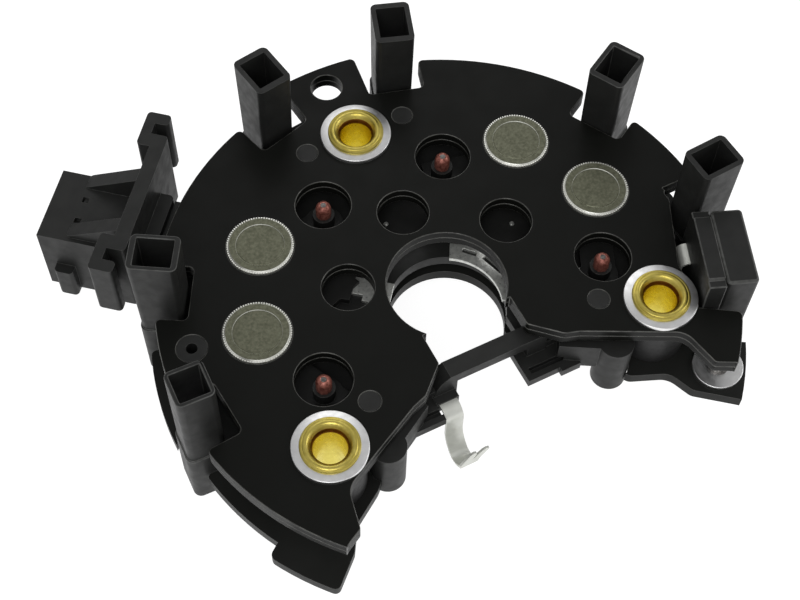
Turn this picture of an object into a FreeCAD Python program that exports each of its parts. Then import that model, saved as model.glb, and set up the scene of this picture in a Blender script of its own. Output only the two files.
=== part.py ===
import FreeCAD, Part
import math
import os
import re
import Sketcher

# Alternator rectifier, in millimetres. X = Y = 0 is the shaft axis, Z = 0 is the underside of the lower
# heat sink, and +Y points from the shaft to the hole tab at the closed end. Levels in the table of sizes
# and in the outlines are counted from the tower feet, and the helpers set them down by sink_level.

SIZES = (
    ("fit_gap", 0.05),
    ("shaft_bore", 11.4),
    ("bore_shift", 0.9),
    ("throat_half", 9.2),
    # Upper heat sink, two sheets
    ("sheet_radius", 54.8),
    ("sheet_thick", 1.75),
    ("sheet_level", 18.5),
    ("access_radius", 5.4),
    ("sight_radius", 5.0),
    ("sight_ring", 18.9),
    ("hole_tab_radius", 58.0),
    ("tab_hole_radius", 3.15),
    ("tab_hole_ring", 52.9),
    # Lower heat sink
    ("sink_radius", 55.2),
    ("sink_tab_radius", 58.2),
    ("sink_bulge_radius", 57.0),
    ("sink_level", 6.7),
    ("sink_thick", 2.5),
    # Diodes
    ("cup_radius", 6.4),
    ("cup_rise", 0.5),
    ("cup_edge", 0.4),
    ("cup_recess_radius", 4.7),
    ("cup_recess", 0.15),
    ("upper_cup_height", 6.0),
    ("lower_cup_height", 5.6),
    ("upper_ring", 36.75),
    ("lower_ring", 30.2),
    ("lead_radius", 0.8),
    ("lead_hole_gap", 0.6),
    ("lead_top", 21.9),
    ("ferrule_radius", 1.55),
    ("ferrule_low", 18.8),
    ("ferrule_top", 21.5),
    ("collar_radius", 2.1),
    ("ferrule_mouth", 0.35),
    # Tubular rivets with their washers and sleeves
    ("fixing_ring", 39.5),
    ("fixing_bore", 3.15),
    ("barrel_radius", 3.9),
    ("flange_radius", 5.5),
    ("flange_thick", 0.8),
    ("funnel_radius", 4.3),
    ("flare_radius", 5.0),
    ("flare_thick", 0.9),
    ("washer_radius", 7.0),
    ("washer_thick", 0.8),
    ("sleeve_radius", 6.6),
    # Carrier web, boss and pegs
    ("web_radius", 52.8),
    ("web_level", 12.1),
    ("web_thick", 2.4),
    ("peg_radius", 2.0),
    ("boss_radius", 2.8),
    ("boss_hole", 1.1),
    ("boss_gap", 3.06),
    ("boss_lip", 0.9),
    # Wire towers
    ("tower_height", 36.6),
    ("tower_width", 7.2),
    ("tower_depth", 8.6),
    ("tower_wall", 0.8),
    ("foot_height", 15.0),
    ("foot_lip", 0.35),
    ("foot_gap", 0.4),
    ("notch_width", 11.6),
    ("notch_reach", 16.0),
    ("notch_corner", 1.2),
    ("tower_corner", 1.2),
    # Posts, arms, rails and bridge at the front
    ("post_radius", 3.4),
    ("post_across", 23.9),
    ("post_front", 22.2),
    ("post_low", 4.9),
    ("post_top", 17.6),
    ("post_gap", 0.15),
    ("arm_width", 4.2),
    ("arm_length", 11.0),
    ("arm_across", 19.6),
    ("arm_front", 19.2),
    ("arm_turn", 30.0),
    ("stem_half", 2.7),
    ("stem_back", 14.0),
    ("rail_top", 12.6),
    ("rail_thick", 2.0),
    ("rail_front", 20.1),
    ("rail_slot", 1.3),
    ("rail_groove", 1.4),
    ("rail_lip", 1.2),
    ("rail_outer", 17.0),
    ("rail_end", 0.8),
    ("rail_inner_right", 6.8),
    ("rail_inner_left", 10.75),
    ("rail_back", 11.0),
    ("rail_step_inner", 13.5),
    ("rail_step_outer", 17.6),
    ("rail_step_reach", 0.9),
    ("bridge_top", 18.2),
    ("bridge_thick", 2.5),
    ("bridge_front", 15.3),
    ("bridge_width", 3.6),
    ("bridge_right", 13.0),
    ("bridge_right_leg", 4.0),
    ("bridge_left_leg", 4.75),
    # Contact clip
    ("clip_thick", 0.5),
    ("clip_width", 3.7),
    ("clip_left", 10.6),
    ("clip_level", 12.35),
    ("clip_face", 26.1),
    ("seat_front", 17.0),
    ("seat_side", 0.45),
    ("seat_roof", 0.65),
    ("seat_floor", 2.35),
    # Phase strips
    ("strip_thick", 0.8),
    ("strip_width", 5.0),
    ("strip_bore", 10.6),
    ("strip_rim", 14.2),
    ("strip_eye", 0.4),
    ("strip_turn", 24.0),
    ("arm_start", 12.0),
    ("arm_tip", 10.9),
    ("arm_notch", 2.4),
    ("arm_notch_ring", 17.6),
    ("lid_start", 18.4),
    ("band_slot_ring", 12.9),
    ("band_slot_width", 0.9),
    ("lid_wall", 0.8),
    ("lid_height", 1.5),
    # Capacitor
    ("capacitor_height", 20.0),
    ("capacitor_length", 16.1),
    ("case_width", 6.1),
    ("cover_width", 3.4),
    ("terminal_thick", 0.5),
    ("terminal_width", 4.6),
    ("terminal_level", 20.6),
    ("terminal_low", 16.0),
    ("terminal_reach", 1.8),
    ("terminal_shift", 4.0),
    ("case_inner", 1.35),
    ("cover_short", 2.4),
    ("cover_over", 0.8),
    ("cover_step", 0.5),
    ("capacitor_room", 0.6),
    ("capacitor_end_room", 3.6),
    # Earth rivet
    ("earth_across", 41.8),
    ("earth_front", 32.1),
    ("earth_washer_radius", 4.9),
    ("earth_washer_thick", 0.8),
    ("earth_head_radius", 2.7),
    ("earth_head_height", 1.7),
    ("earth_shank_radius", 1.6),
    # Connector
    ("shell_low", 3.1),
    ("shell_top", 20.0),
    ("shell_near", -5.9),
    ("shell_far", 9.7),
    ("shell_mouth", 79.5),
    ("shell_floor", 66.0),
    ("shell_wall", 1.3),
    ("plate_back", 59.3),
    ("plate_front", 62.2),
    ("plate_low", 8.6),
    ("plate_top", 28.0),
    ("pin_width", 2.4),
    ("pin_thick", 0.8),
    ("pin_pitch", 4.2),
    ("pin_tip", 76.0),
    ("neck_gap", 2.85),
    ("neck_split", 56.6),
    ("neck_low", 2.0),
    ("flange_near", -10.1),
    ("flange_far", 16.9),
    ("ear_low", 14.0),
    ("ear_back", 0.8),
    ("ear_reach", 2.7),
    ("ear_hook", 5.0),
    ("ear_slot", 2.5),
    ("ear_overlap", 3.0),
    ("ear_slot_depth", 0.6),
    ("rib_inset", 0.9),
    ("rib_tip", 0.2),
    ("rib_reach", 11.6),
    ("rib_height", 6.5),
    ("rib_width", 3.0),
    ("vent_back", 7.2),
    ("vent_length", 1.3),
    ("vent_width", 1.2),
    ("latch_reach", 2.0),
    ("latch_back", 6.3),
    ("latch_length", 3.8),
    ("latch_top", 11.0),
)

UPPER_ANGLES = (11.0, 40.8, 139.2, 169.0)
LOWER_ANGLES = (-13.4, 64.4, 115.6, 193.4)
FIXING_ANGLES = (90.0, 210.0, 330.0)
BOSS_ANGLE = 168.94
STRIP_ARM_ANGLE = 141.0
ARM_NOTCH_ANGLE = 149.0
CONNECTOR_TURN = 50
CAPACITOR_TURN = 68.7
CAPACITOR = (47.8, -18.66)
SIGHT_ANGLES = (26.6, 90.0, 153.4)

# Each wire tower: angle round the shaft, ring radius, direction of its long side, extra width, extra depth
TOWERS = (
    (105.3, 53.3, 99.7, 0.0, 0.0),
    (74.85, 53.0, 71.0, 0.1, 0.4),
    (25.1, 53.0, 29.0, 0.0, 0.4),
    (-4.9, 53.0, 3.5, -0.1, 0.0),
    (155.3, 53.3, 149.0, 0.2, -0.1),
    (185.05, 53.15, 178.0, 0.15, -1.4),
)

# Each notch that the upper sheets leave for a tower: angle and ring radius of its floor, and its direction
NOTCHES = (
    (105.29, 47.2, 106.2),
    (75.04, 47.5, 73.8),
    (24.9, 48.01, 29.4),
    (-5.76, 48.26, 4.0),
    (155.14, 48.11, 150.6),
    (185.09, 47.2, 184.2),
)

# Pegs that locate the upper sheets on the carrier
PEGS = ((10.5, 39.8), (-10.5, 39.8), (23.85, -14.65), (-23.85, -14.65))

doc = FreeCAD.newDocument("AlternatorRectifier")
sheet = doc.addObject("Spreadsheet::Sheet", "Sizes")
for row, (alias, amount) in enumerate(SIZES, start=1):
    sheet.set(f"A{row}", alias)
    sheet.set(f"B{row}", f"{amount:g}")
    sheet.setAlias(f"B{row}", alias)
doc.recompute()

ALIAS = re.compile(r"\b(" + "|".join(alias for alias, amount in SIZES) + r")\b")
nodes = []


def cells(expression):
    """Write the plain size names of an expression as cells of the sheet"""
    return ALIAS.sub(r"Sizes.\1", str(expression))


def amount_of(expression):
    """The expression's value now"""
    return float(sheet.evalExpression(cells(expression)))


def bind(thing, **expressions):
    """Tie properties of a thing to expressions over the sheet"""
    for name, expression in expressions.items():
        thing.setExpression(name, cells(expression))


def place(thing, x="0", y="0", z="0", turn="0"):
    """Tie a thing's place, and its turn about Z, to expressions over the sheet"""
    thing.Placement = FreeCAD.Placement(FreeCAD.Vector(), FreeCAD.Rotation(FreeCAD.Vector(0, 0, 1), 0))
    for axis, expression in (("x", x), ("y", y), ("z", f"({z}) - sink_level")):
        thing.setExpression(f"Placement.Base.{axis}", cells(expression))
    thing.setExpression("Placement.Rotation.Angle", cells(turn))


def on_ring(ring, angle):
    """Expressions for the point at an angle on a ring round the shaft"""
    return f"({ring}) * cos({angle})", f"({ring}) * sin({angle})"


def cylinder(name, radius, height, x="0", y="0", z="0"):
    thing = doc.addObject("Part::Cylinder", name)
    bind(thing, Radius=radius, Height=height)
    place(thing, x, y, z)
    return thing


def block(name, along, across, height, x="0", y="0", z="0", turn="0", shift="0"):
    """A box with its middle at x, y, turned about Z, then shifted along its own length"""
    thing = doc.addObject("Part::Box", name)
    bind(thing, Length=along, Width=across, Height=height)
    back = f"(({along}) / 2 - ({shift}))"
    place(
        thing,
        f"({x}) - {back} * cos({turn}) + ({across}) / 2 * sin({turn})",
        f"({y}) - {back} * sin({turn}) - ({across}) / 2 * cos({turn})",
        z,
        turn,
    )
    return thing


def span(name, x_range, y_range, z_range, turn="0"):
    """A box between two corners, turned about the shaft axis"""
    thing = doc.addObject("Part::Box", name)
    lows = [low for low, high in (x_range, y_range, z_range)]
    extents = [f"({high}) - ({low})" for low, high in (x_range, y_range, z_range)]
    bind(thing, Length=extents[0], Width=extents[1], Height=extents[2])
    place(
        thing,
        f"({lows[0]}) * cos({turn}) - ({lows[1]}) * sin({turn})",
        f"({lows[0]}) * sin({turn}) + ({lows[1]}) * cos({turn})",
        lows[2],
        turn,
    )
    return thing


def gusset(name, x_range, y_range, z_range, turn="0", tip="0"):
    """A wedge as high as z_range at its first y, and down to the tip's height at its last y"""
    thing = doc.addObject("Part::Wedge", name)
    extents = [f"({high}) - ({low})" for low, high in (x_range, y_range, z_range)]
    for name_low in ("Xmin", "Ymin", "Zmin", "X2min", "Z2min"):
        setattr(thing, name_low, 0)
    bind(thing, Xmax=extents[0], X2max=extents[0], Ymax=extents[1], Zmax=extents[2], Z2max=tip)
    place(
        thing,
        f"({x_range[0]}) * cos({turn}) - ({y_range[0]}) * sin({turn})",
        f"({x_range[0]}) * sin({turn}) + ({y_range[0]}) * cos({turn})",
        z_range[0],
        turn,
    )
    return thing


def rounded_corner(before, corner, after):
    """Where a corner's arc leaves and meets its two edges, and the middle of the arc

    The ends are pairs of expressions in the corner's place and radius.
    """
    x, y, radius = corner
    here, last, following = (FreeCAD.Vector(*map(amount_of, spot[:2])) for spot in (corner, before, after))
    back = (last - here).normalize()
    ahead = (following - here).normalize()
    half = back.getAngle(ahead) / 2
    reach = 1 / math.tan(half)
    ends = []
    for way in (back, ahead):
        ends.append(tuple(f"({c}) + {u * reach:.6f} * ({radius})" for c, u in zip((x, y), way)))
    middle = here + (back + ahead).normalize() * (amount_of(radius) / math.sin(half))
    return ends, middle, back.cross(ahead).z < 0


def hold(sketch, geometry, end, spot):
    """Fix one end of an edge at a spot given by two expressions"""
    for kind, expression in zip(("DistanceX", "DistanceY"), spot):
        row = sketch.addConstraint(Sketcher.Constraint(kind, -1, 1, geometry, end, amount_of(expression)))
        if ALIAS.search(str(expression)):
            sketch.setExpression(f"Constraints[{row}]", cells(expression))


def draw_corners(sketch, corners):
    """Draw a closed outline, held by its dimensions; a corner with a third value is rounded to that radius"""
    count = len(corners)
    stops = []
    for index, corner in enumerate(corners):
        if len(corner) == 2:
            stops.append(([corner[:2]] * 2, None, None))
        else:
            stops.append(rounded_corner(corners[index - 1], corner, corners[(index + 1) % count]))
    lines = []
    for index in range(count):
        ends = stops[index][0][1], stops[(index + 1) % count][0][0]
        start, stop = (FreeCAD.Vector(*map(amount_of, end)) for end in ends)
        lines.append(sketch.addGeometry(Part.LineSegment(start, stop)))
        hold(sketch, lines[-1], 1, ends[0])
    for index, (ends, middle, turns_left) in enumerate(stops):
        if middle is None:
            sketch.addConstraint(Sketcher.Constraint("Coincident", lines[index - 1], 2, lines[index], 1))
            continue
        hold(sketch, lines[index - 1], 2, ends[0])
        radius = amount_of(corners[index][2])
        angles = [math.atan2(amount_of(y) - middle.y, amount_of(x) - middle.x) for x, y in ends]
        circle = Part.Circle(middle, FreeCAD.Vector(0, 0, 1), radius)
        arc = sketch.addGeometry(Part.ArcOfCircle(circle, *(angles if turns_left else reversed(angles))))
        first, last = (1, 2) if turns_left else (2, 1)
        sketch.addConstraint(Sketcher.Constraint("Coincident", lines[index - 1], 2, arc, first))
        sketch.addConstraint(Sketcher.Constraint("Coincident", lines[index], 1, arc, last))
        row = sketch.addConstraint(Sketcher.Constraint("Radius", arc, radius))
        if ALIAS.search(str(corners[index][2])):
            sketch.setExpression(f"Constraints[{row}]", cells(corners[index][2]))


def prism(name, corners, height, z="0", y="0"):
    """An outline of corners, raised to a height"""
    sketch = doc.addObject("Sketcher::SketchObject", f"{name}_outline")
    draw_corners(sketch, corners)
    place(sketch, y=y, z=z)
    thing = doc.addObject("Part::Extrusion", name)
    thing.Base = sketch
    thing.DirMode = "Normal"
    thing.Solid = True
    bind(thing, LengthFwd=height)
    return thing


def rounded_block(name, along, across, radius, height, x, y, z, turn, shift="0"):
    """A box with rounded upright edges and its middle at x, y, turned about Z"""
    sketch = doc.addObject("Sketcher::SketchObject", f"{name}_outline")
    ends = f"({shift}) - ({along}) / 2", f"({shift}) + ({along}) / 2"
    sides = f"-({across}) / 2", f"({across}) / 2"
    corners = [(ends[0], sides[0]), (ends[1], sides[0]), (ends[1], sides[1]), (ends[0], sides[1])]
    draw_corners(sketch, [(*corner, radius) for corner in corners])
    place(sketch, x, y, z, turn)
    thing = doc.addObject("Part::Extrusion", name)
    thing.Base = sketch
    thing.DirMode = "Normal"
    thing.Solid = True
    bind(thing, LengthFwd=height)
    return thing


def turned(name, profile, x="0", y="0"):
    """A body turned about its own Z axis from a profile of (radius, level) corners"""
    body = doc.addObject("PartDesign::Body", name)
    sketch = body.newObject("Sketcher::SketchObject", f"{name}_profile")
    plane = next(feature for feature in body.Origin.OriginFeatures if feature.Role == "XZ_Plane")
    sketch.AttachmentSupport = [(plane, "")]
    sketch.MapMode = "FlatFace"
    draw_corners(sketch, profile)
    revolution = body.newObject("PartDesign::Revolution", f"{name}_turned")
    revolution.Profile = sketch
    revolution.ReferenceAxis = (sketch, ["V_Axis"])
    revolution.Angle = 360
    body.Tip = revolution
    body.setExpression("Placement.Base.x", cells(x))
    body.setExpression("Placement.Base.y", cells(y))
    body.setExpression("Placement.Base.z", cells("-sink_level"))
    return body


def fuse(name, *things):
    thing = doc.addObject("Part::MultiFuse", name)
    thing.Shapes = list(things)
    thing.Refine = True
    return thing


def cut(name, base, *tools):
    thing = doc.addObject("Part::Cut", name)
    thing.Base = base
    thing.Tool = tools[0] if len(tools) == 1 else fuse(f"{name}_tools", *tools)
    thing.Refine = True
    return thing


def common(name, base, tool):
    thing = doc.addObject("Part::MultiCommon", name)
    thing.Shapes = [base, tool]
    return thing


def node(label, thing):
    """Name a finished piece; its file takes this name"""
    thing.Label = label
    nodes.append(thing)
    return thing


def mirrored(corners):
    """The right-hand corners followed by their mirror images across Y"""
    return list(corners) + [(f"-({corner[0]})", *corner[1:]) for corner in reversed(corners)]


# Levels that several pieces share
SINK_TOP = "sink_level + sink_thick"
WEB_TOP = "web_level + web_thick"
STRIP_TOP = "web_level + web_thick + strip_thick"
SHEET_MIDDLE = "sheet_level + sheet_thick"
SHEET_TOP = "sheet_level + 2 * sheet_thick"
WASHER_TOP = "sheet_level + 2 * sheet_thick + washer_thick"
THROUGH = "tower_height + 2"

# Slots in the strip along the shaft opening: angle round the shaft, and length
BAND_SLOTS = ((42.7, 2.9), (18.1, 5.1))

# Middles of the vents through the connector's shell, across its own axis
VENTS = (4.0, -0.9)

# Neck between the carrier and the connector, along the connector's own axis
NECK_WIDTH = (-5.0, 9.0)
PAD_WIDTH = (-8.0, 12.0)
NECK_START = "upper_ring + cup_radius + neck_gap"
NECK_LEVELS = ("sink_level + sink_thick + 0.4", "sheet_level - 0.3")

# Open front of the upper sheets, from the shaft opening out to the right tip
SHEET_FRONT = (
    ("throat_half", -6.9),
    ("throat_half", -13.4, 1.0),
    (14.4, -18.2, 2.0),
    (17.2, -19.1, 3.0),
    (34.6, -28.0, 4.0),
    (36.1, -35.7, 0.8),
    (39.3, -37.4, 0.8),
    (66.0, -62.8),
)

# Right side of the upper sheets, cut back behind the capacitor
CAPACITOR_SIDE = (
    (48.0, 1.5),
    (48.5, 0.0),
    (41.3, -15.0, 2.0),
    (40.5, -22.0, 1.5),
    (39.2, -24.3, 0.8),
    (46.0, -28.6),
    (62.0, -38.7),
    (62.0, 1.5),
)

# Open front of the carrier's web
WEB_FRONT = (
    ("throat_half", -6.9),
    ("throat_half", -13.5),
    (10.5, -15.0),
    (17.5, -15.0),
    (17.5, -17.5),
    (27.3, -17.5),
    (27.3, -12.9),
    (66.0, -12.9),
    (66.0, -62.8),
)

# Open front of the lower heat sink, its left and its right end
SINK_FRONT_LEFT = (
    (-9.2, -6.9),
    (-9.2, -12.5),
    (-21.5, -15.5),
    (-23.9, -22.2),
    (-27.8, -25.9, 2.0),
    (-33.9, -29.9, 3.0),
    (-36.8, -34.6, 2.0),
    (-42.6, -39.9, 0.8),
    (-62.0, -57.1),
)
SINK_FRONT_RIGHT = (
    (62.0, -57.1),
    (41.6, -39.6, 0.8),
    (34.9, -34.2, 2.5),
    (32.9, -29.2, 4.0),
    (25.6, -26.2, 2.0),
    (23.9, -22.2),
    (21.5, -15.5),
    (9.2, -12.5),
    (9.2, -6.9),
)
SINK_TAB_LEFT = (
    (-30.0, -15.0),
    (-48.75, -27.1, 0.8),
    (-62.0, -37.0),
    (-62.0, -60.0),
    (-30.0, -45.0),
)
SINK_TAB_RIGHT = (
    (30.0, -15.0),
    (48.9, -29.4, 0.8),
    (62.0, -37.2),
    (62.0, -60.0),
    (30.0, -45.0),
)
SINK_BULGE = (("0", "0"), (-65.8, 23.9), (-69.9, -3.7))

# Sides of the hole tab of the upper sheets
HOLE_TAB = (
    (-7.0, 44.0),
    (7.0, 44.0),
    (7.0, 47.3),
    (8.28, 57.5, 1.2),
    (0.0, 58.3),
    (-8.28, 57.5, 1.2),
    (-7.0, 47.3),
)

# Outer and inner side of the capacitor, as offsets towards the shaft
CAPACITOR_SIDES = ("case_inner - case_width", "case_inner + cover_width")

# Sector that the band along the shaft opening fills
BAND_SECTOR = ((0.0, 0.0), (40.0, -14.5), (40.0, 30.0), (23.0, 40.0))

# Underside of the bridge's left shoulder, as (x, level)
BRIDGE_SLOPE = (
    ("-11.5", "bridge_top + 0.1"),
    ("-7.4", "bridge_top + 0.1"),
    ("-9.3", "bridge_top - 1.2"),
    ("-10.3", "bridge_top - 3.0"),
    ("-10.8", "bridge_top - 5.4"),
    ("-11.5", "bridge_top - 5.4"),
)

# Middle line of the contact clip as (y, z): two points for a straight run, three for an arc
CLIP_LINE = (
    ((-15.3, 12.35), (-17.4, 12.35)),
    ((-17.4, 12.35), (-19.097, 11.647), (-19.8, 9.95)),
    ((-19.8, 9.95), (-19.8, 6.5)),
    ((-19.8, 6.5), (-20.5, 3.55), (-22.1, 1.5)),
    ((-22.1, 1.5), (-23.1, 1.08), (-24.2, 1.3)),
    ((-24.2, 1.3), (-25.3, 2.0), (-26.1, 3.0)),
)
CLIP_TINES = (
    (-10.6, 2.6),
    (-6.9, 2.6),
    (-6.2, 4.1),
    (-4.7, 5.9),
    (-4.6, 6.4),
    (-5.2, 6.7),
    (-6.1, 6.4),
    (-8.1, 4.2),
    (-7.3, 5.9),
    (-7.3, 6.5),
    (-7.9, 6.8),
    (-8.7, 6.4),
    (-10.6, 3.6),
)


def tower_spot(tower):
    return on_ring(tower[1], tower[0])


def notch(name, floor, height, z):
    """The cut that gives a wire tower room in the upper sheets"""
    angle, ring, turn = floor
    x, y = on_ring(ring, angle)
    sizes = "notch_reach", "notch_width", "notch_corner", height
    return rounded_block(name, *sizes, x, y, z, turn, "notch_reach / 2")


def foot_room(name, tower, height, z):
    """The cut that gives a tower's foot room in the lower heat sink"""
    x, y = tower_spot(tower)
    along = f"tower_depth + {tower[4]} + 2 * (foot_lip + foot_gap)"
    across = f"tower_width + {tower[3]} + 2 * (foot_lip + foot_gap)"
    corner = "tower_corner + foot_lip + foot_gap"
    return rounded_block(name, along, across, corner, height, x, y, z, tower[2])


def upper_sheet(label, level):
    """One of the two upper sheets; both are stamped to the same outline"""
    disc = cylinder(f"{label}_disc", "sheet_radius", "sheet_thick", z=level)
    tab_round = cylinder(f"{label}_tab_round", "hole_tab_radius", "sheet_thick", z=level)
    tab_sides = prism(f"{label}_tab_sides", HOLE_TAB, "sheet_thick", z=level)
    tab = common(f"{label}_tab", tab_round, tab_sides)
    notches = [notch(f"{label}_notch_{i}", floor, "sheet_thick", level) for i, floor in enumerate(NOTCHES, 1)]
    notched = cut(f"{label}_notched", disc, *notches)
    holes = [
        cylinder(f"{label}_bore", "shaft_bore", "sheet_thick", y="bore_shift", z=level),
        cylinder(f"{label}_tab_hole", "tab_hole_radius", "sheet_thick", y="tab_hole_ring", z=level),
        cylinder(f"{label}_boss_hole", "boss_radius + fit_gap", "sheet_thick", *BOSS, z=level),
        prism(f"{label}_front", mirrored(SHEET_FRONT), "sheet_thick", z=level),
        prism(f"{label}_capacitor_side", CAPACITOR_SIDE, "sheet_thick", z=level),
    ]
    for ring, radius, angles in (
        ("upper_ring", "cup_radius + fit_gap", UPPER_ANGLES),
        ("lower_ring", "access_radius", LOWER_ANGLES),
        ("sight_ring", "sight_radius", SIGHT_ANGLES),
        ("fixing_ring", "barrel_radius + fit_gap", FIXING_ANGLES),
    ):
        for angle in angles:
            spot = on_ring(ring, angle)
            holes.append(cylinder(f"{label}_{ring}_hole", radius, "sheet_thick", *spot, z=level))
    for x, y in PEGS:
        holes.append(cylinder(f"{label}_peg_hole", "peg_radius + fit_gap", "sheet_thick", x, y, level))
    whole = fuse(f"{label}_whole", notched, tab)
    return node(label, cut(f"{label}_cut", whole, *holes))


def lower_heat_sink():
    """The thick lower sheet, with a tab at each end"""
    disc = cylinder("sink_disc", "sink_radius", "sink_thick", z="sink_level")
    tabs = []
    for side, corners in (("left", SINK_TAB_LEFT), ("right", SINK_TAB_RIGHT)):
        tab_round = cylinder(f"sink_tab_{side}_round", "sink_tab_radius", "sink_thick", z="sink_level")
        tab_sides = prism(f"sink_tab_{side}_sides", corners, "sink_thick", z="sink_level")
        tabs.append(common(f"sink_tab_{side}", tab_round, tab_sides))
    bulge_round = cylinder("sink_bulge_round", "sink_bulge_radius", "sink_thick", z="sink_level")
    bulge_sides = prism("sink_bulge_sides", SINK_BULGE, "sink_thick", z="sink_level")
    bulge = common("sink_bulge", bulge_round, bulge_sides)
    whole = fuse("sink_whole", disc, bulge, *tabs)
    cuts = [
        cylinder("sink_bore", "shaft_bore", "sink_thick", z="sink_level"),
        prism("sink_front", SINK_FRONT_LEFT + SINK_FRONT_RIGHT, "sink_thick", z="sink_level"),
        cylinder("sink_earth_hole", "earth_shank_radius + fit_gap", "sink_thick", *EARTH, z="sink_level"),
    ]
    for side in (1, -1):
        spot = f"{side} * post_across", "-post_front"
        cuts.append(cylinder("sink_post_hole", "post_radius + post_gap", "sink_thick", *spot, z="sink_level"))
    for i, tower in enumerate(TOWERS, 1):
        cuts.append(foot_room(f"sink_foot_room_{i}", tower, "sink_thick", "sink_level"))
    for ring, radius, angles in (
        ("lower_ring", "cup_radius + fit_gap", LOWER_ANGLES),
        ("fixing_ring", "barrel_radius + fit_gap", FIXING_ANGLES),
    ):
        for angle in angles:
            spot = on_ring(ring, angle)
            cuts.append(cylinder(f"sink_{ring}_hole", radius, "sink_thick", *spot, z="sink_level"))
    return node("lower_heat_sink", cut("sink_cut", whole, *cuts))


BOSS = on_ring("upper_ring + cup_radius + boss_radius + boss_gap", BOSS_ANGLE)
EARTH = ("earth_across", "-earth_front")


def tower_block(name, tower, grow, height):
    """A tower's outline with its rounded edges, grown on every side, from the feet up to a height"""
    x, y = tower_spot(tower)
    along = f"tower_depth + {tower[4]} + 2 * ({grow})"
    across = f"tower_width + {tower[3]} + 2 * ({grow})"
    return rounded_block(name, along, across, f"tower_corner + {grow}", height, x, y, "0", tower[2])


def wire_tower(number, tower):
    """A square tube on its foot, with the well that runs through both"""
    x, y = tower_spot(tower)
    tube = tower_block(f"tower_{number}", tower, "0", "tower_height")
    foot = tower_block(f"tower_foot_{number}", tower, "foot_lip", "foot_height")
    well = [f"{size} - 2 * tower_wall" for size in (f"tower_depth + {tower[4]}", f"tower_width + {tower[3]}")]
    hollow = block(f"tower_well_{number}", *well, THROUGH, x, y, "-1", tower[2])
    whole = fuse(f"tower_{number}_whole", tube, foot)
    return node(f"wire_tower_{number}", cut(f"tower_{number}_cut", whole, hollow))


def front_shapes():
    """Posts, arms and rails on both sides of the throat, and the bridge over it"""
    solids = []
    slots = []
    rail = "rail_top - rail_thick", "rail_top"
    slot_y = "-rail_front + rail_lip", "-rail_front + rail_lip + rail_slot"
    for side, name, slot_start in ((1, "right", "+ rail_lip"), (-1, "left", "- rail_slot")):
        post = f"{side} * post_across", "-post_front"
        solids.append(cylinder(f"post_{name}", "post_radius", "post_top - post_low", *post, "post_low"))
        arm = "arm_length", "arm_width", f"post_top - ({rail[0]})", f"{side} * arm_across", "-arm_front"
        solids.append(block(f"arm_{name}", *arm, rail[0], f"{-side} * arm_turn"))
        stem_x = side_range(side, "post_across - stem_half", "post_across + stem_half")
        solids.append(span(f"post_stem_{name}", stem_x, ("-post_front", "-stem_back"), (rail[0], WEB_TOP)))
        inner = f"rail_inner_{name}"
        rail_x = side_range(side, inner, "rail_outer")
        solids.append(span(f"rail_{name}", rail_x, ("-rail_front", "-rail_back"), rail))
        slot_x = side_range(side, f"{inner} {slot_start}", "rail_outer - rail_end")
        slots.append(span(f"rail_slot_{name}", slot_x, slot_y, ("rail_top - rail_groove", "rail_top + 1")))
    step_y = "-rail_front - rail_step_reach", "-rail_front + rail_lip"
    solids.append(span("rail_step", ("rail_step_inner", "rail_step_outer"), step_y, rail))
    solids.append(bridge(("-bridge_front", "-bridge_front + bridge_width")))
    seat, seat_slot = clip_seat()
    return solids + [seat], slots + [seat_slot]


def side_range(side, inner, outer):
    """The X range of a piece on the right (1) or left (-1) side"""
    if side > 0:
        return inner, outer
    return f"-({outer})", f"-({inner})"


def bridge(y_range):
    """Bar over the throat, with a leg at each end"""
    right = "bridge_right - bridge_right_leg", "bridge_right"
    right_leg = span("bridge_right_leg", right, y_range, ("web_level", "bridge_top"))
    left = "-rail_inner_left", "-rail_inner_left + bridge_left_leg"
    leg = span("bridge_left_leg", left, y_range, ("rail_top - rail_thick", "bridge_top"))
    bar_levels = "bridge_top - bridge_thick", "bridge_top"
    bar = span("bridge_bar", ("-rail_inner_left + bridge_thick", "bridge_right"), y_range, bar_levels)
    slope = prism_across("bridge_slope", BRIDGE_SLOPE, y_range)
    return cut("bridge", fuse("bridge_whole", right_leg, bar, leg), slope)


def clip_seat():
    """Block in front of the bridge's left leg, and the slot in it that holds the contact clip"""
    level = "clip_level - clip_thick / 2 - fit_gap", "clip_level + clip_thick / 2 + fit_gap"
    seat_x = "-clip_left - seat_side", "-clip_left + clip_width + seat_side"
    seat_levels = "clip_level - seat_floor", "clip_level + seat_roof"
    seat = span("clip_seat", seat_x, ("-seat_front", "-bridge_front + 1"), seat_levels)
    slot_x = "-clip_left - fit_gap", "-clip_left + clip_width + fit_gap"
    slot = span("clip_slot", slot_x, ("-seat_front - 1", "-bridge_front"), level)
    return seat, slot


def prism_across(name, corners, y_range):
    """An outline drawn in the XZ plane as (x, level), raised over a range of Y"""
    sketch = doc.addObject("Sketcher::SketchObject", f"{name}_outline")
    draw_corners(sketch, corners)
    sketch.Placement.Rotation = FreeCAD.Rotation(FreeCAD.Vector(1, 0, 0), 90)
    sketch.setExpression("Placement.Base.y", cells(y_range[1]))
    sketch.setExpression("Placement.Base.z", cells("-sink_level"))
    thing = doc.addObject("Part::Extrusion", name)
    thing.Base = sketch
    thing.DirMode = "Normal"
    thing.Solid = True
    bind(thing, LengthFwd=f"({y_range[1]}) - ({y_range[0]})")
    return thing


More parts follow.
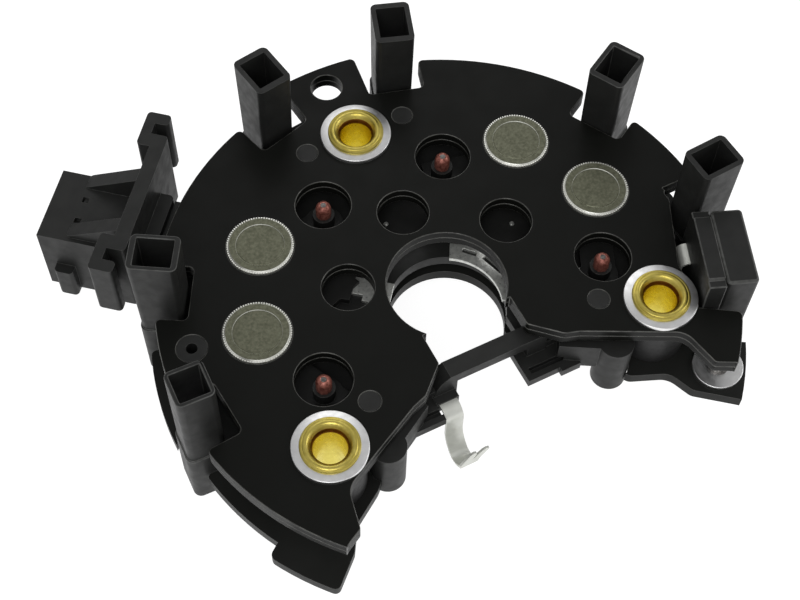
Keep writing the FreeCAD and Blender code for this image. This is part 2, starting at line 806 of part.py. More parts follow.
def connector_shapes():
    """Neck, flange plate, hooked ears and shell of the connector, along its own axis"""
    turn = CONNECTOR_TURN
    shell_v = "shell_near", "shell_far"
    plate = "plate_back", "plate_front"
    latch = "shell_mouth - latch_back", "shell_mouth - latch_back + latch_length"
    vent = "shell_mouth - vent_back", "shell_mouth - vent_back + vent_length"
    solids = [
        span("neck_middle", NECK_WIDTH, ("neck_split", "plate_front"), NECK_LEVELS, turn),
        span("neck_low", NECK_WIDTH, ("neck_split", "plate_front"), ("neck_low", "sheet_level"), turn),
        span("neck_riser", NECK_WIDTH, ("neck_split", "plate_front"), ("web_level", "shell_top"), turn),
        span("flange", ("flange_near", "flange_far"), plate, ("plate_low", "plate_top"), turn),
        span("shell", shell_v, ("plate_front", "shell_mouth"), ("shell_low", "shell_top"), turn),
        span("latch", ("shell_near - latch_reach", "shell_near"), latch, ("shell_low", "latch_top"), turn),
    ]
    inside = "shell_near + shell_wall", "shell_far - shell_wall"
    levels = "shell_low + shell_wall", "shell_top - shell_wall"
    cuts = [span("shell_room", inside, ("shell_floor", "shell_mouth + 1"), levels, turn)]
    for name, edge, way in (("far", "flange_far", 1), ("near", "flange_near", -1)):
        ear = side_range(way, f"{way} * ({edge}) - ear_overlap", f"{way} * ({edge}) + ear_hook")
        solids.append(span(f"ear_{name}", ear, ("plate_back + ear_back", "plate_front + ear_reach"),
                           ("ear_low", "plate_top"), turn))
        slot = side_range(way, f"{way} * ({edge})", f"{way} * ({edge}) + ear_slot")
        cuts.append(span(f"ear_{name}_slot", slot, ("plate_back - 1", "plate_front + ear_slot_depth"),
                         ("ear_low - 1", "plate_top + 1"), turn))
    for name, low in (("far", "shell_far - rib_width"), ("near", "shell_near + rib_inset")):
        rib = (low, f"{low} + rib_width"), ("plate_front", "plate_front + rib_reach")
        solids.append(gusset(f"rib_{name}", *rib, ("shell_top", "shell_top + rib_height"), turn, "rib_tip"))
    for number, middle in enumerate(VENTS, 1):
        across = f"{middle} - vent_width / 2", f"{middle} + vent_width / 2"
        cuts.append(span(f"vent_{number}", across, vent, ("shell_low - 1", "shell_top + 1"), turn))
    for i in (-1, 0, 1):
        cuts.append(connector_pin(f"pin_slot_{i + 2}", i, "fit_gap"))
    return solids, cuts


def connector_pin(name, step, grow="0"):
    """One blade of the connector, or the slot that it sits in"""
    middle = f"(shell_near + shell_far) / 2 + {step} * pin_pitch"
    half = f"(pin_width / 2 + {grow})"
    level = "(shell_low + shell_top) / 2"
    half_thick = f"(pin_thick / 2 + {grow})"
    return span(
        name,
        (f"{middle} - {half}", f"{middle} + {half}"),
        (f"plate_back + 0.6 - ({grow})", f"pin_tip + {grow}"),
        (f"{level} - {half_thick}", f"{level} + {half_thick}"),
        CONNECTOR_TURN,
    )


def capacitor_block(name, length, low, high, z_range, grow="0", shift="0"):
    """A box along the capacitor's length, between two offsets towards the shaft"""
    turn = CAPACITOR_TURN
    middle = f"(({low}) + ({high})) / 2"
    x = f"{CAPACITOR[0]} - {middle} * sin({turn})"
    y = f"{CAPACITOR[1]} + {middle} * cos({turn})"
    height = f"({z_range[1]}) - ({z_range[0]})"
    along, across = f"{length} + 2 * ({grow})", f"({high}) - ({low}) + 2 * ({grow})"
    return block(name, along, across, height, x, y, z_range[0], turn, shift)


def carrier():
    """The moulding between the heat sinks: posts, rails, bridge, pegs, lead collars and strip covers"""
    web = cylinder("web", "web_radius", "web_thick", z="web_level")
    web_levels = "web_level", WEB_TOP
    pad = span("web_neck", PAD_WIDTH, (f"{NECK_START} - 2", "neck_split"), web_levels, CONNECTOR_TURN)
    front = prism("web_front", mirrored(WEB_FRONT), "web_thick", z="web_level")
    opened = cut("web_open", fuse("web_flat", web, pad), front)
    neck = span("neck_inner", NECK_WIDTH, (NECK_START, "neck_split"), NECK_LEVELS, CONNECTOR_TURN)
    fronts, cuts = front_shapes()
    solids = [opened, neck, *fronts]
    room_length = "capacitor_length + 2 * (capacitor_end_room - capacitor_room)"
    cuts += [
        cylinder("web_bore", "shaft_bore", "web_thick", z="web_level"),
        capacitor_block("web_capacitor_room", room_length, *CAPACITOR_SIDES, web_levels, "capacitor_room"),
        cylinder("boss_bore", "boss_hole", THROUGH, *BOSS, z="0"),
    ]
    for number, tower in enumerate(TOWERS, 1):
        cuts.append(tower_block(f"foot_seat_{number}", tower, "foot_lip", "foot_height"))
    for i in range(1, 5):
        lid, room = strip_lid(i)
        solids += lid
        cuts += room
    solids += loose_runs("lid_start", "lid_height", "lid_wall")[:2]
    cuts += loose_runs("arm_start", "strip_thick + fit_gap", "fit_gap")
    for x, y in PEGS:
        solids.append(cylinder("peg", "peg_radius", f"{SHEET_TOP} - web_level", x, y, "web_level"))
    solids.append(cylinder("boss", "boss_radius", f"{SHEET_TOP} - web_level", *BOSS, z="web_level"))
    solids.append(cylinder("boss_lug", "boss_radius + boss_lip", "web_thick", *BOSS, z="web_level"))
    for angle in LOWER_ANGLES:
        spot = on_ring("lower_ring", angle)
        rise = f"ferrule_low - ({WEB_TOP})"
        solids.append(cylinder("lead_collar", "collar_radius", rise, *spot, z=WEB_TOP))
        cuts.append(cylinder("lead_hole", "lead_radius + lead_hole_gap", WEB_TOP, *spot, z="0"))
    rear = on_ring("fixing_ring", FIXING_ANGLES[0])
    cuts.append(cylinder("web_sleeve_hole", "sleeve_radius + fit_gap", THROUGH, *rear, z="0"))
    return node("carrier", cut("carrier_cut", fuse("carrier_whole", *solids), *cuts))


def connector():
    """The connector's moulding: neck, flange plate, ears, shell and ribs, joined to the carrier"""
    solids, cuts = connector_shapes()
    return node("connector_shell", cut("connector_cut", fuse("connector_whole", *solids), *cuts))


def diode_cup(label, angle, ring, floor, height, top_out):
    """A press-fit diode cup, with its shallow recess on the outer face"""
    face = f"{floor} + {height}" if top_out else floor
    back = floor if top_out else f"{floor} + {height}"
    inward = "-" if top_out else "+"
    profile = (
        ("0", back),
        ("cup_radius - cup_edge", back),
        ("cup_radius", f"{back} {'+' if top_out else '-'} cup_edge"),
        ("cup_radius", f"{face} {inward} cup_edge"),
        ("cup_radius - cup_edge", face),
        ("cup_recess_radius", face),
        ("cup_recess_radius", f"{face} {inward} cup_recess"),
        ("0", f"{face} {inward} cup_recess"),
    )
    return node(label, turned(f"{label}_body", profile, *on_ring(ring, angle)))


def round_bar(label, radius, low, high, x, y):
    profile = (("0", low), (radius, low), (radius, high), ("0", high))
    return node(label, turned(f"{label}_body", profile, x, y))


def diodes():
    """Four diodes facing up in the upper sheets and four facing down in the lower one"""
    upper_floor = f"{SHEET_TOP} + cup_rise - upper_cup_height"
    lower_floor = "sink_level - cup_rise"
    lower_back = f"{lower_floor} + lower_cup_height"
    for i, angle in enumerate(UPPER_ANGLES, 1):
        diode_cup(f"upper_diode_{i}", angle, "upper_ring", upper_floor, "upper_cup_height", True)
        round_bar(f"upper_lead_{i}", "lead_radius", WEB_TOP, upper_floor, *on_ring("upper_ring", angle))
    for i, angle in enumerate(LOWER_ANGLES, 1):
        spot = on_ring("lower_ring", angle)
        diode_cup(f"lower_diode_{i}", angle, "lower_ring", lower_floor, "lower_cup_height", False)
        round_bar(f"lower_lead_{i}", "lead_radius", lower_back, "lead_top", *spot)
        ferrule = (
            ("lead_radius + fit_gap", "ferrule_low"),
            ("ferrule_radius", "ferrule_low"),
            ("ferrule_radius", "ferrule_top - 0.2"),
            ("ferrule_radius - 0.2", "ferrule_top"),
            ("lead_radius + ferrule_mouth", "ferrule_top"),
            ("lead_radius + fit_gap", "ferrule_top - 2 * ferrule_mouth"),
        )
        node(f"lead_ferrule_{i}", turned(f"lead_ferrule_{i}_body", ferrule, *spot))


def fixings():
    """Tubular rivets that clamp the stack, with a washer above and a sleeve between the sinks"""
    flange_top = f"{WASHER_TOP} + flange_thick"
    eyelet = (
        ("fixing_bore", "sink_level - flare_thick"),
        ("flare_radius", "sink_level - flare_thick"),
        ("flare_radius", "sink_level"),
        ("barrel_radius", "sink_level"),
        ("barrel_radius", WASHER_TOP),
        ("flange_radius", WASHER_TOP),
        ("flange_radius", f"{flange_top} - 0.4"),
        ("flange_radius - 0.5", flange_top),
        ("funnel_radius", flange_top),
        ("funnel_radius - 0.5", f"{flange_top} - 0.5"),
        ("fixing_bore", f"{flange_top} - 1.5"),
    )
    washer = (
        ("barrel_radius + fit_gap", SHEET_TOP),
        ("washer_radius", SHEET_TOP),
        ("washer_radius", WASHER_TOP),
        ("barrel_radius + fit_gap", WASHER_TOP),
    )
    sleeve = (
        ("barrel_radius + fit_gap", SINK_TOP),
        ("sleeve_radius", SINK_TOP),
        ("sleeve_radius", "sheet_level"),
        ("barrel_radius + fit_gap", "sheet_level"),
    )
    for i, angle in enumerate(FIXING_ANGLES, 1):
        spot = on_ring("fixing_ring", angle)
        for label, profile in (("eyelet", eyelet), ("eyelet_washer", washer), ("eyelet_sleeve", sleeve)):
            node(f"{label}_{i}", turned(f"{label}_{i}_body", profile, *spot))


def strip_arm(name, start, end, angle):
    """A straight run of strip between two rings, along an angle"""
    middle = f"(({start}) + ({end})) / 2"
    spot = on_ring(middle, angle)
    return block(name, f"({end}) - ({start})", "strip_width", "strip_thick", *spot, WEB_TOP, angle)


def strip_run(name, start, end, height="strip_thick", grow="0"):
    """A straight run of strip from one spot to another, with its ends half a width beyond them"""
    x, y = (f"(({a}) + ({b})) / 2" for a, b in zip(start, end))
    ahead, aside = (f"({b}) - ({a})" for a, b in zip(start, end))
    turn = f"atan2({aside}; {ahead})"
    sizes = f"hypot({ahead}; {aside}) + strip_width + 2 * ({grow})", f"strip_width + 2 * ({grow})", height
    return block(name, *sizes, x, y, WEB_TOP, turn)


def strip_link(number, height="strip_thick", grow="0"):
    """The run of a strip between its two diodes, with a round eye at each"""
    angles = UPPER_ANGLES[number - 1], LOWER_ANGLES[number - 1]
    spots = [on_ring(ring, angle) for ring, angle in zip(("upper_ring", "lower_ring"), angles)]
    runs = [strip_run("strip_link", *spots, height, grow)]
    for spot in spots:
        runs.append(cylinder("strip_eye", f"strip_width / 2 + strip_eye + {grow}", height, *spot, z=WEB_TOP))
    return runs


def strip_lid(number):
    """Raised cover that the moulding has over a strip's link, and the room for the strip and its two leads"""
    lid = strip_link(number, "lid_height", "lid_wall")
    room = strip_link(number, "strip_thick + fit_gap", "fit_gap")
    for ring, angles in (("upper_ring", UPPER_ANGLES), ("lower_ring", LOWER_ANGLES)):
        spot = on_ring(ring, angles[number - 1])
        room.append(cylinder("lid_hole", "lead_radius + lead_hole_gap / 2", THROUGH, *spot, z=WEB_TOP))
    return lid, room


def phase_strips():
    """Flat strips on the web, each joining one upper and one lower diode"""
    for i, (upper_angle, lower_angle) in enumerate(zip(UPPER_ANGLES, LOWER_ANGLES), 1):
        upper = on_ring("upper_ring", upper_angle)
        runs = strip_link(i)
        holes = []
        for ring, angle in (("upper_ring", upper_angle), ("lower_ring", lower_angle)):
            spot = on_ring(ring, angle)
            holes.append(cylinder("strip_hole", "lead_radius + fit_gap", "strip_thick", *spot, z=WEB_TOP))
        if i == 1:
            runs.append(strip_arm("strip_arm_1", "arm_start", "lower_ring", lower_angle))
            runs.append(bore_band())
        if i == 4:
            runs.append(strip_arm("strip_arm_4", "arm_tip", "strip_turn", STRIP_ARM_ANGLE))
            runs.append(strip_run("strip_turn_4", on_ring("strip_turn - 2", STRIP_ARM_ANGLE), upper))
            sizes = "arm_notch", "arm_notch", "strip_thick"
            spot = on_ring("arm_notch_ring", ARM_NOTCH_ANGLE)
            holes.append(block("arm_hole", *sizes, *spot, WEB_TOP, STRIP_ARM_ANGLE))
        node(f"phase_strip_{i}", cut(f"strip_{i}_cut", fuse(f"strip_{i}_whole", *runs), *holes))


def loose_runs(start, height, grow):
    """The runs of strips 4 and 1 beyond their links, grown by their cover or by the room in it"""
    upper = on_ring("upper_ring", UPPER_ANGLES[3])
    width = f"strip_width + 2 * ({grow})"
    turn = strip_run("turn_room", on_ring("strip_turn - 2", STRIP_ARM_ANGLE), upper, height, grow)
    runs = [turn]
    for end, angle in (("strip_turn", STRIP_ARM_ANGLE), ("lower_ring", LOWER_ANGLES[0])):
        spot = on_ring(f"({start} + {end}) / 2", angle)
        runs.append(block("arm_room", f"{end} - {start}", width, height, *spot, WEB_TOP, angle))
    return runs


def bore_band():
    """Part of a ring that runs along the shaft opening on the right"""
    outer = cylinder("band_outer", "strip_rim", "strip_thick", z=WEB_TOP)
    inner = cylinder("band_inner", "strip_bore", "strip_thick", z=WEB_TOP)
    sector = prism("band_sector", BAND_SECTOR, "strip_thick", z=WEB_TOP)
    slots = []
    for number, (angle, length) in enumerate(BAND_SLOTS, 1):
        spot = on_ring("band_slot_ring", angle)
        sizes = length, "band_slot_width", "strip_thick"
        slots.append(block(f"band_slot_{number}", *sizes, *spot, WEB_TOP, angle + 90))
    return cut("band", common("band_part", cut("band_ring", outer, inner), sector), *slots)


def contact_clip():
    """Spring strip that leaves the carrier at the front, drops, and folds up into two leaning tines"""
    half = amount_of("clip_thick / 2")
    path = clip_path()
    sides = [path.makeOffset2D(offset, join=0, fill=False, openResult=True) for offset in (half, -half)]
    ends = [[side.OrderedVertexes[which].Point for side in sides] for which in (0, -1)]
    caps = [Part.makeLine(*pair) for pair in ends]
    outline = Part.Wire(Part.__sortEdges__(sides[0].Edges + sides[1].Edges + caps))
    strip = doc.addObject("Part::Feature", "clip_strip")
    strip.Shape = Part.Face(outline).extrude(FreeCAD.Vector(amount_of("clip_width"), 0, 0))
    strip.setExpression("Placement.Base.x", cells("-clip_left"))
    strip.setExpression("Placement.Base.z", cells("-sink_level"))
    faces = "-clip_face - clip_thick / 2", "-clip_face + clip_thick / 2"
    tines = prism_across("clip_tines", CLIP_TINES, faces)
    return node("contact_clip", fuse("clip", strip, tines))


def clip_path():
    """Middle line of the clip, in the plane across X"""
    edges = []
    for points in CLIP_LINE:
        spots = [FreeCAD.Vector(0, y, z) for y, z in points]
        edges.append(Part.makeLine(*spots) if len(spots) == 2 else Part.Arc(*spots).toShape())
    return Part.Wire(edges)


def capacitor():
    """Potted capacitor on the lower sink: its case, the cover on its inner side, and the terminal strap"""
    top = f"{SINK_TOP} + capacitor_height"
    outer, face = CAPACITOR_SIDES
    node("capacitor_case", capacitor_block("case", "capacitor_length", outer, "case_inner", (SINK_TOP, top)))
    short = "capacitor_length - cover_short"
    body = capacitor_block("cover_body", short, "case_inner", face, (SINK_TOP, top))
    step = SINK_TOP, f"{top} - cover_step"
    ends = capacitor_block("cover_ends", "capacitor_length + cover_over", "case_inner", face, step)
    node("capacitor_cover", fuse("cover", body, ends))
    tip = f"{face} + terminal_reach"
    high = "terminal_level + terminal_thick"
    parts = []
    for name, low, levels in (
        ("run", face, ("terminal_level", high)),
        ("drop", f"{tip} - terminal_thick", ("terminal_low", high)),
    ):
        sizes = "terminal_width", low, tip, levels
        parts.append(capacitor_block(f"terminal_{name}", *sizes, shift="terminal_shift"))
    node("capacitor_terminal", fuse("terminal", *parts))


def earth_rivet():
    """Domed rivet through a washer at the right end of the lower sink"""
    washer_top = f"{SINK_TOP} + earth_washer_thick"
    washer = (
        ("earth_shank_radius + fit_gap", SINK_TOP),
        ("earth_washer_radius", SINK_TOP),
        ("earth_washer_radius", washer_top),
        ("earth_shank_radius + fit_gap", washer_top),
    )
    head = (
        ("0", "sink_level - 0.9"),
        ("earth_head_radius", "sink_level - 0.9"),
        ("earth_head_radius", "sink_level"),
        ("earth_shank_radius", "sink_level"),
        ("earth_shank_radius", washer_top),
        ("earth_head_radius", washer_top),
        ("earth_head_radius", f"{washer_top} + earth_head_height * 0.35"),
        ("earth_head_radius * 0.8", f"{washer_top} + earth_head_height * 0.75"),
        ("earth_head_radius * 0.45", f"{washer_top} + earth_head_height"),
        ("0", f"{washer_top} + earth_head_height"),
    )
    node("earth_washer", turned("earth_washer_body", washer, *EARTH))
    node("earth_rivet", turned("earth_rivet_body", head, *EARTH))


upper_sheet("upper_sheet", SHEET_MIDDLE)
upper_sheet("second_sheet", "sheet_level")
lower_heat_sink()
carrier()
connector()
for number, tower in enumerate(TOWERS, 1):
    wire_tower(number, tower)
diodes()
fixings()
phase_strips()
contact_clip()
capacitor()
earth_rivet()
for number in (1, 2, 3):
    node(f"connector_pin_{number}", connector_pin(f"pin_{number}", number - 2))
doc.recompute()

faults = [thing.Name for thing in doc.Objects if {"Invalid", "Error"} & set(thing.State)]
faults += [thing.Label for thing in nodes if thing.Shape.isNull() or not thing.Shape.isValid()]
if faults:
    raise SystemExit(f"These objects failed: {', '.join(faults)}")

os.makedirs("parts", exist_ok=True)
for thing in nodes:
    thing.Shape.exportStep(f"parts/{thing.Label}.step")
    print(f"{thing.Label}: {len(thing.Shape.Solids)} solid, {thing.Shape.Volume:.1f} mm3")
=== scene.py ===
import logging
import math
from collections.abc import Callable, Sequence
from dataclasses import dataclass, replace
from enum import Enum

import bmesh
import bpy
from mathutils import Matrix, Vector


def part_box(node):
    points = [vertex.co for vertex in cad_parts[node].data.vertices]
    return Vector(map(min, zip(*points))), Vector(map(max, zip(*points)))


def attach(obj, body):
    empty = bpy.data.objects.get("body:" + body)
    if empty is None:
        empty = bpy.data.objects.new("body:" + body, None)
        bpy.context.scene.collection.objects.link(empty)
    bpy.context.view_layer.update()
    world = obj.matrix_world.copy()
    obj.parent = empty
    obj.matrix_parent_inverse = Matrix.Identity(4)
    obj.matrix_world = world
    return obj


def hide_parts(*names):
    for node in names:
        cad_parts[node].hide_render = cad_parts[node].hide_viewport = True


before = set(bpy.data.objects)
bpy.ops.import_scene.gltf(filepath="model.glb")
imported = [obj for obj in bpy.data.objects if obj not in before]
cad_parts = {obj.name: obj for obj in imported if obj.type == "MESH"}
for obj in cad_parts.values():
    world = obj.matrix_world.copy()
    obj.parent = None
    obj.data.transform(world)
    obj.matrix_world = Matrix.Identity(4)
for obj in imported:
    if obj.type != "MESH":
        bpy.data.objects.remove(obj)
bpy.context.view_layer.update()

MM = 0.001
JOINED = 2e-6  # metres within which two corners are one
LEVEL = 1e-6  # metres within which two levels are one
UPRIGHT = 1e-5  # metres between the ends of an upright edge, seen from above
FLAT_ANGLE = math.radians(0.4)  # faces that meet at less are one
BEND_ANGLE = math.radians(32)  # edges that are sharper get a rounding
CORNER_ANGLE = math.radians(35)  # upright edges that are sharper get the larger rounding
CREASE_ANGLE = math.radians(38)  # edges that are sharper stay creased in a turned piece
NOISE_RANGE = (0.3, 0.7)  # where nearly all values of a noise texture lie
LOG = logging.getLogger("rectifier")
Point = tuple[float, float]
Spot = tuple[float, float, float]
Colour = tuple[float, float, float]


class Grain(Enum):
    """How a surface's fine relief looks."""

    SMOOTH = "smooth"
    MOULDED = "moulded"
    BRUSHED = "brushed"
    MOTTLED = "mottled"


class Graph:
    """A node tree that is being built."""

    def __init__(self, tree: bpy.types.NodeTree) -> None:
        """Empty the tree and keep it."""
        tree.nodes.clear()
        self.tree = tree

    def add(self, kind: str, inputs: dict | None = None, **settings: object) -> bpy.types.Node:
        """Add a node.

        Args:
            kind: the node's type.
            inputs: socket name or number to a plain value or to the socket that feeds it.
            settings: the node's own options.

        Returns:
            The new node.
        """
        node = self.tree.nodes.new(kind)
        for name, value in settings.items():
            setattr(node, name, value)
        for key, value in (inputs or {}).items():
            if isinstance(value, bpy.types.NodeSocket):
                self.tree.links.new(value, node.inputs[key])
            else:
                node.inputs[key].default_value = value
        return node

    def noise(
        self, size_mm: float, detail: float, stretch: Spot = (1.0, 1.0, 1.0),
    ) -> bpy.types.NodeSocket:
        """Noise over the piece's own coordinates.

        Args:
            size_mm: size of one blotch.
            detail: octaves of finer noise.
            stretch: scale of each axis, which draws the noise out into streaks.

        Returns:
            The noise's value.
        """
        place = self.add("ShaderNodeTexCoord").outputs["Object"]
        drawn = self.add("ShaderNodeMapping", {"Vector": place, "Scale": stretch})
        settings = {"Vector": drawn.outputs[0], "Scale": 1.0 / (size_mm * MM), "Detail": detail}
        return self.add("ShaderNodeTexNoise", settings).outputs["Fac"]

    def between(self, value: bpy.types.NodeSocket, low: float, high: float) -> bpy.types.NodeSocket:
        """Map a noise value from its usual range onto low to high."""
        least, most = NOISE_RANGE
        settings = {"Value": value, "From Min": least, "From Max": most, "To Min": low, "To Max": high}
        return self.add("ShaderNodeMapRange", settings).outputs["Result"]

    def blend(self, value: bpy.types.NodeSocket, low: Colour, high: Colour) -> bpy.types.NodeSocket:
        """Mix two colours by a value.

        Args:
            value: how much of the second colour.
            low: the first colour.
            high: the second colour.

        Returns:
            The mixed colour.
        """
        factor, first, second, mixed = 0, 6, 7, 2
        settings = {factor: value, first: (*low, 1.0), second: (*high, 1.0)}
        return self.add("ShaderNodeMix", settings, data_type="RGBA").outputs[mixed]


@dataclass(frozen=True)
class Finish:
    """A surface: its material's name, the record's slot (not used), two colours in blotches, gloss and fine
    relief.
    """

    name: str
    slot: str
    colour: Colour
    second: Colour
    roughness: tuple[float, float]
    blotch_mm: float
    grain: Grain
    grain_mm: float
    relief_mm: float
    metallic: float = 0.0
    specular: float = 0.5
    streak: float = 12.0
    patch_share: float = 0.6

    def material(self) -> bpy.types.Material:
        """The finish as a material, made once."""
        known = bpy.data.materials.get(self.name)
        if known:
            return known
        made = bpy.data.materials.new(self.name)
        made.use_nodes = True
        graph = Graph(made.node_tree)
        stretch = (1.0, 1.0, self.streak) if self.grain is Grain.BRUSHED else (1.0, 1.0, 1.0)
        tint = graph.between(graph.noise(self.blotch_mm, detail=4.0), 0.0, 1.0)
        fine = graph.noise(self.grain_mm, detail=2.0, stretch=stretch)
        patches = graph.noise(self.blotch_mm * self.patch_share, detail=5.0, stretch=stretch)
        shader = graph.add("ShaderNodeBsdfPrincipled", {
            "Base Color": graph.blend(tint, self.colour, self.second),
            "Roughness": graph.between(patches, *self.roughness),
            "Metallic": self.metallic,
            "Specular IOR Level": self.specular,
        })
        if self.grain is not Grain.SMOOTH:
            settings = {"Height": fine, "Distance": self.relief_mm * MM, "Strength": 1.0}
            relief = graph.add("ShaderNodeBump", settings)
            graph.tree.links.new(relief.outputs[0], shader.inputs["Normal"])
        graph.add("ShaderNodeOutputMaterial", {"Surface": shader.outputs[0]})
        return made


COAT = Finish(
    "satin_black_coat", "heat_sink", (0.0056, 0.0059, 0.0050), (0.0068, 0.0071, 0.0062),
    roughness=(0.36, 0.46), specular=0.1, blotch_mm=9.0, grain=Grain.MOULDED, grain_mm=0.25, relief_mm=0.003,
)
# The same coat, twice as light, for the lower sheet: painted light that lifts the shade the upper sheets cast
# on it.
LOWER_COAT_PAINTED_LIGHT = replace(
    COAT, name="satin_black_coat_below_painted_light", colour=(0.014, 0.0144, 0.0132), second=(0.018, 0.0184, 0.0172),
)
# Lighter, glossier coat on the rounded edges: a painted highlight along the sheets' rims.
COAT_EDGE_HIGHLIGHT = Finish(
    "coat_edge_painted_highlight", "heat_sink", (0.022, 0.022, 0.020), (0.10, 0.10, 0.09),
    roughness=(0.24, 0.36), blotch_mm=2.0, grain=Grain.MOULDED, grain_mm=0.25, relief_mm=0.003,
)
PLASTIC = Finish(
    "moulded_black_plastic", "carrier", (0.014, 0.0143, 0.0136), (0.019, 0.0194, 0.0185),
    roughness=(0.42, 0.56), specular=0.26, blotch_mm=3.0, grain=Grain.MOULDED, grain_mm=0.35, relief_mm=0.010,
)
# Lighter plastic on the rounded edges of the moulding and the capacitor: a painted highlight along their
# rims.
PLASTIC_EDGE_HIGHLIGHT = Finish(
    "plastic_edge_painted_highlight", "carrier", (0.036, 0.037, 0.034), (0.085, 0.086, 0.082),
    roughness=(0.32, 0.44), specular=0.4, blotch_mm=1.5, grain=Grain.MOULDED, grain_mm=0.3, relief_mm=0.008,
)
CAP_METAL = Finish(
    "matte_nickel", "diode_cap", (0.115, 0.118, 0.082), (0.20, 0.204, 0.146), metallic=1.0,
    roughness=(0.40, 0.56), blotch_mm=0.5, grain=Grain.MOTTLED, grain_mm=0.22, relief_mm=0.014,
)
# The caps' nickel made far lighter for the knurled ridges, the chamfer and the groove wall: a painted
# highlight.
CAP_RIM_HIGHLIGHT = Finish(
    "knurled_nickel_painted_highlight", "diode_cap", (0.80, 0.80, 0.74), (0.94, 0.94, 0.88), metallic=0.8,
    roughness=(0.26, 0.36), specular=0.6, blotch_mm=0.9, grain=Grain.SMOOTH, grain_mm=0.3, relief_mm=0.0,
)
# The eyelet's gold made lighter and glossier for the bore's walls: a painted reflection of the light from
# below.
BORE_PAINTED_REFLECTION = Finish(
    "amber_bore_painted_reflection", "eyelet", (0.72, 0.60, 0.09), (0.84, 0.72, 0.14), metallic=1.0,
    roughness=(0.24, 0.34), blotch_mm=1.5, grain=Grain.MOTTLED, grain_mm=0.5, relief_mm=0.002,
)
# The eyelet's gold made dark brown where its lip turns into the bore: painted shade.
LIP_PAINTED_SHADE = Finish(
    "lip_painted_shade", "eyelet", (0.16, 0.055, 0.010), (0.30, 0.12, 0.02), metallic=0.9,
    roughness=(0.3, 0.4), blotch_mm=1.5, grain=Grain.MOTTLED, grain_mm=0.5, relief_mm=0.002,
)
GOLD = Finish(
    "yellow_passivated_steel", "eyelet", (0.52, 0.42, 0.085), (0.64, 0.53, 0.14), metallic=1.0,
    roughness=(0.3, 0.42), blotch_mm=1.2, grain=Grain.MOTTLED, grain_mm=0.5, relief_mm=0.002,
)
ZINC = Finish(
    "bright_zinc", "washer", (0.76, 0.76, 0.76), (0.86, 0.86, 0.86), metallic=1.0,
    roughness=(0.3, 0.4), blotch_mm=1.6, grain=Grain.BRUSHED, grain_mm=0.2, relief_mm=0.002,
)
COPPER = Finish(
    "copper_ferrule", "ferrule", (0.12, 0.028, 0.018), (0.46, 0.17, 0.13), metallic=0.5,
    roughness=(0.32, 0.5), blotch_mm=0.6, grain=Grain.MOTTLED, grain_mm=0.35, relief_mm=0.03,
)
TIN = Finish(
    "tinned_metal", "strip", (0.55, 0.56, 0.53), (0.82, 0.83, 0.79), metallic=0.7,
    roughness=(0.25, 0.42), specular=0.6, blotch_mm=0.8, grain=Grain.BRUSHED, grain_mm=0.25, relief_mm=0.004,
)
LEAD = Finish(
    "tinned_lead", "lead", (0.07, 0.068, 0.065), (0.22, 0.21, 0.20), metallic=1.0,
    roughness=(0.3, 0.45), blotch_mm=0.4, grain=Grain.MOTTLED, grain_mm=0.2, relief_mm=0.01,
)
SPRING = Finish(
    "bright_spring_strip", "clip", (0.66, 0.67, 0.62), (0.74, 0.75, 0.70), metallic=0.6,
    roughness=(0.38, 0.46), blotch_mm=2.5, grain=Grain.SMOOTH, grain_mm=0.25, relief_mm=0.0,
)
INSULATOR = Finish(
    "dark_insulator", "sleeve", (0.012, 0.012, 0.012), (0.020, 0.020, 0.020),
    roughness=(0.45, 0.6), specular=0.4, blotch_mm=1.5, grain=Grain.MOULDED, grain_mm=0.4, relief_mm=0.008,
)
CASE = Finish(
    "dark_potted_case", "capacitor", (0.008, 0.0084, 0.0076), (0.012, 0.0124, 0.0116),
    roughness=(0.42, 0.54), specular=0.34, blotch_mm=2.5, grain=Grain.MOULDED, grain_mm=0.3, relief_mm=0.006,
)
BLADE = Finish(
    "bright_blade", "pin", (0.5, 0.42, 0.2), (0.6, 0.5, 0.26), metallic=1.0,
    roughness=(0.25, 0.4), blotch_mm=1.0, grain=Grain.BRUSHED, grain_mm=0.25, relief_mm=0.003,
)


def show(
    piece: bpy.types.Object, finish: Finish, *nodes: str, second: Finish | None = None,
) -> bpy.types.Object:
    """Give a finished piece its material and its body, and hide the CAD nodes that it stands for.

    Args:
        piece: the object, with its place in its mesh.
        finish: its surface.
        nodes: the CAD nodes that it replaces.
        second: the lighter surface that paints a highlight on its rounded edges or its rim, or a reflection
            in its bore.

    Returns:
        The same object.
    """
    piece.data.materials.clear()
    piece.data.materials.append(finish.material())
    if second:
        piece.data.materials.append(second.material())
    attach(piece, "root")
    if nodes:
        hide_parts(*nodes)
    LOG.info("%s: %d faces", piece.name, len(piece.data.polygons))
    return piece


def new_object(name: str, mesh: bpy.types.Mesh) -> bpy.types.Object:
    """Put a mesh into the scene as an object at the origin."""
    piece = bpy.data.objects.new(name, mesh)
    bpy.context.scene.collection.objects.link(piece)
    return piece


def upright_corners(work: bmesh.types.BMesh, radius: float) -> list[bmesh.types.BMEdge]:
    """Upright outer edges that have room for a rounding, and whose ends are plain corners of three edges.

    Args:
        work: the mesh.
        radius: how far the rounding reaches, in metres.

    Returns:
        The edges.
    """
    room = 1.6 * radius
    found = []
    for edge in work.edges:
        low, high = edge.verts
        if (low.co.xy - high.co.xy).length > UPRIGHT or not edge.is_manifold:
            continue
        if edge.calc_face_angle_signed() < CORNER_ANGLE:
            continue
        if max(len(low.link_edges), len(high.link_edges)) > 3:
            continue
        beside = [other for end in (low, high) for other in end.link_edges if other is not edge]
        if min(other.calc_length() for other in beside) > room:
            found.append(edge)
    return found


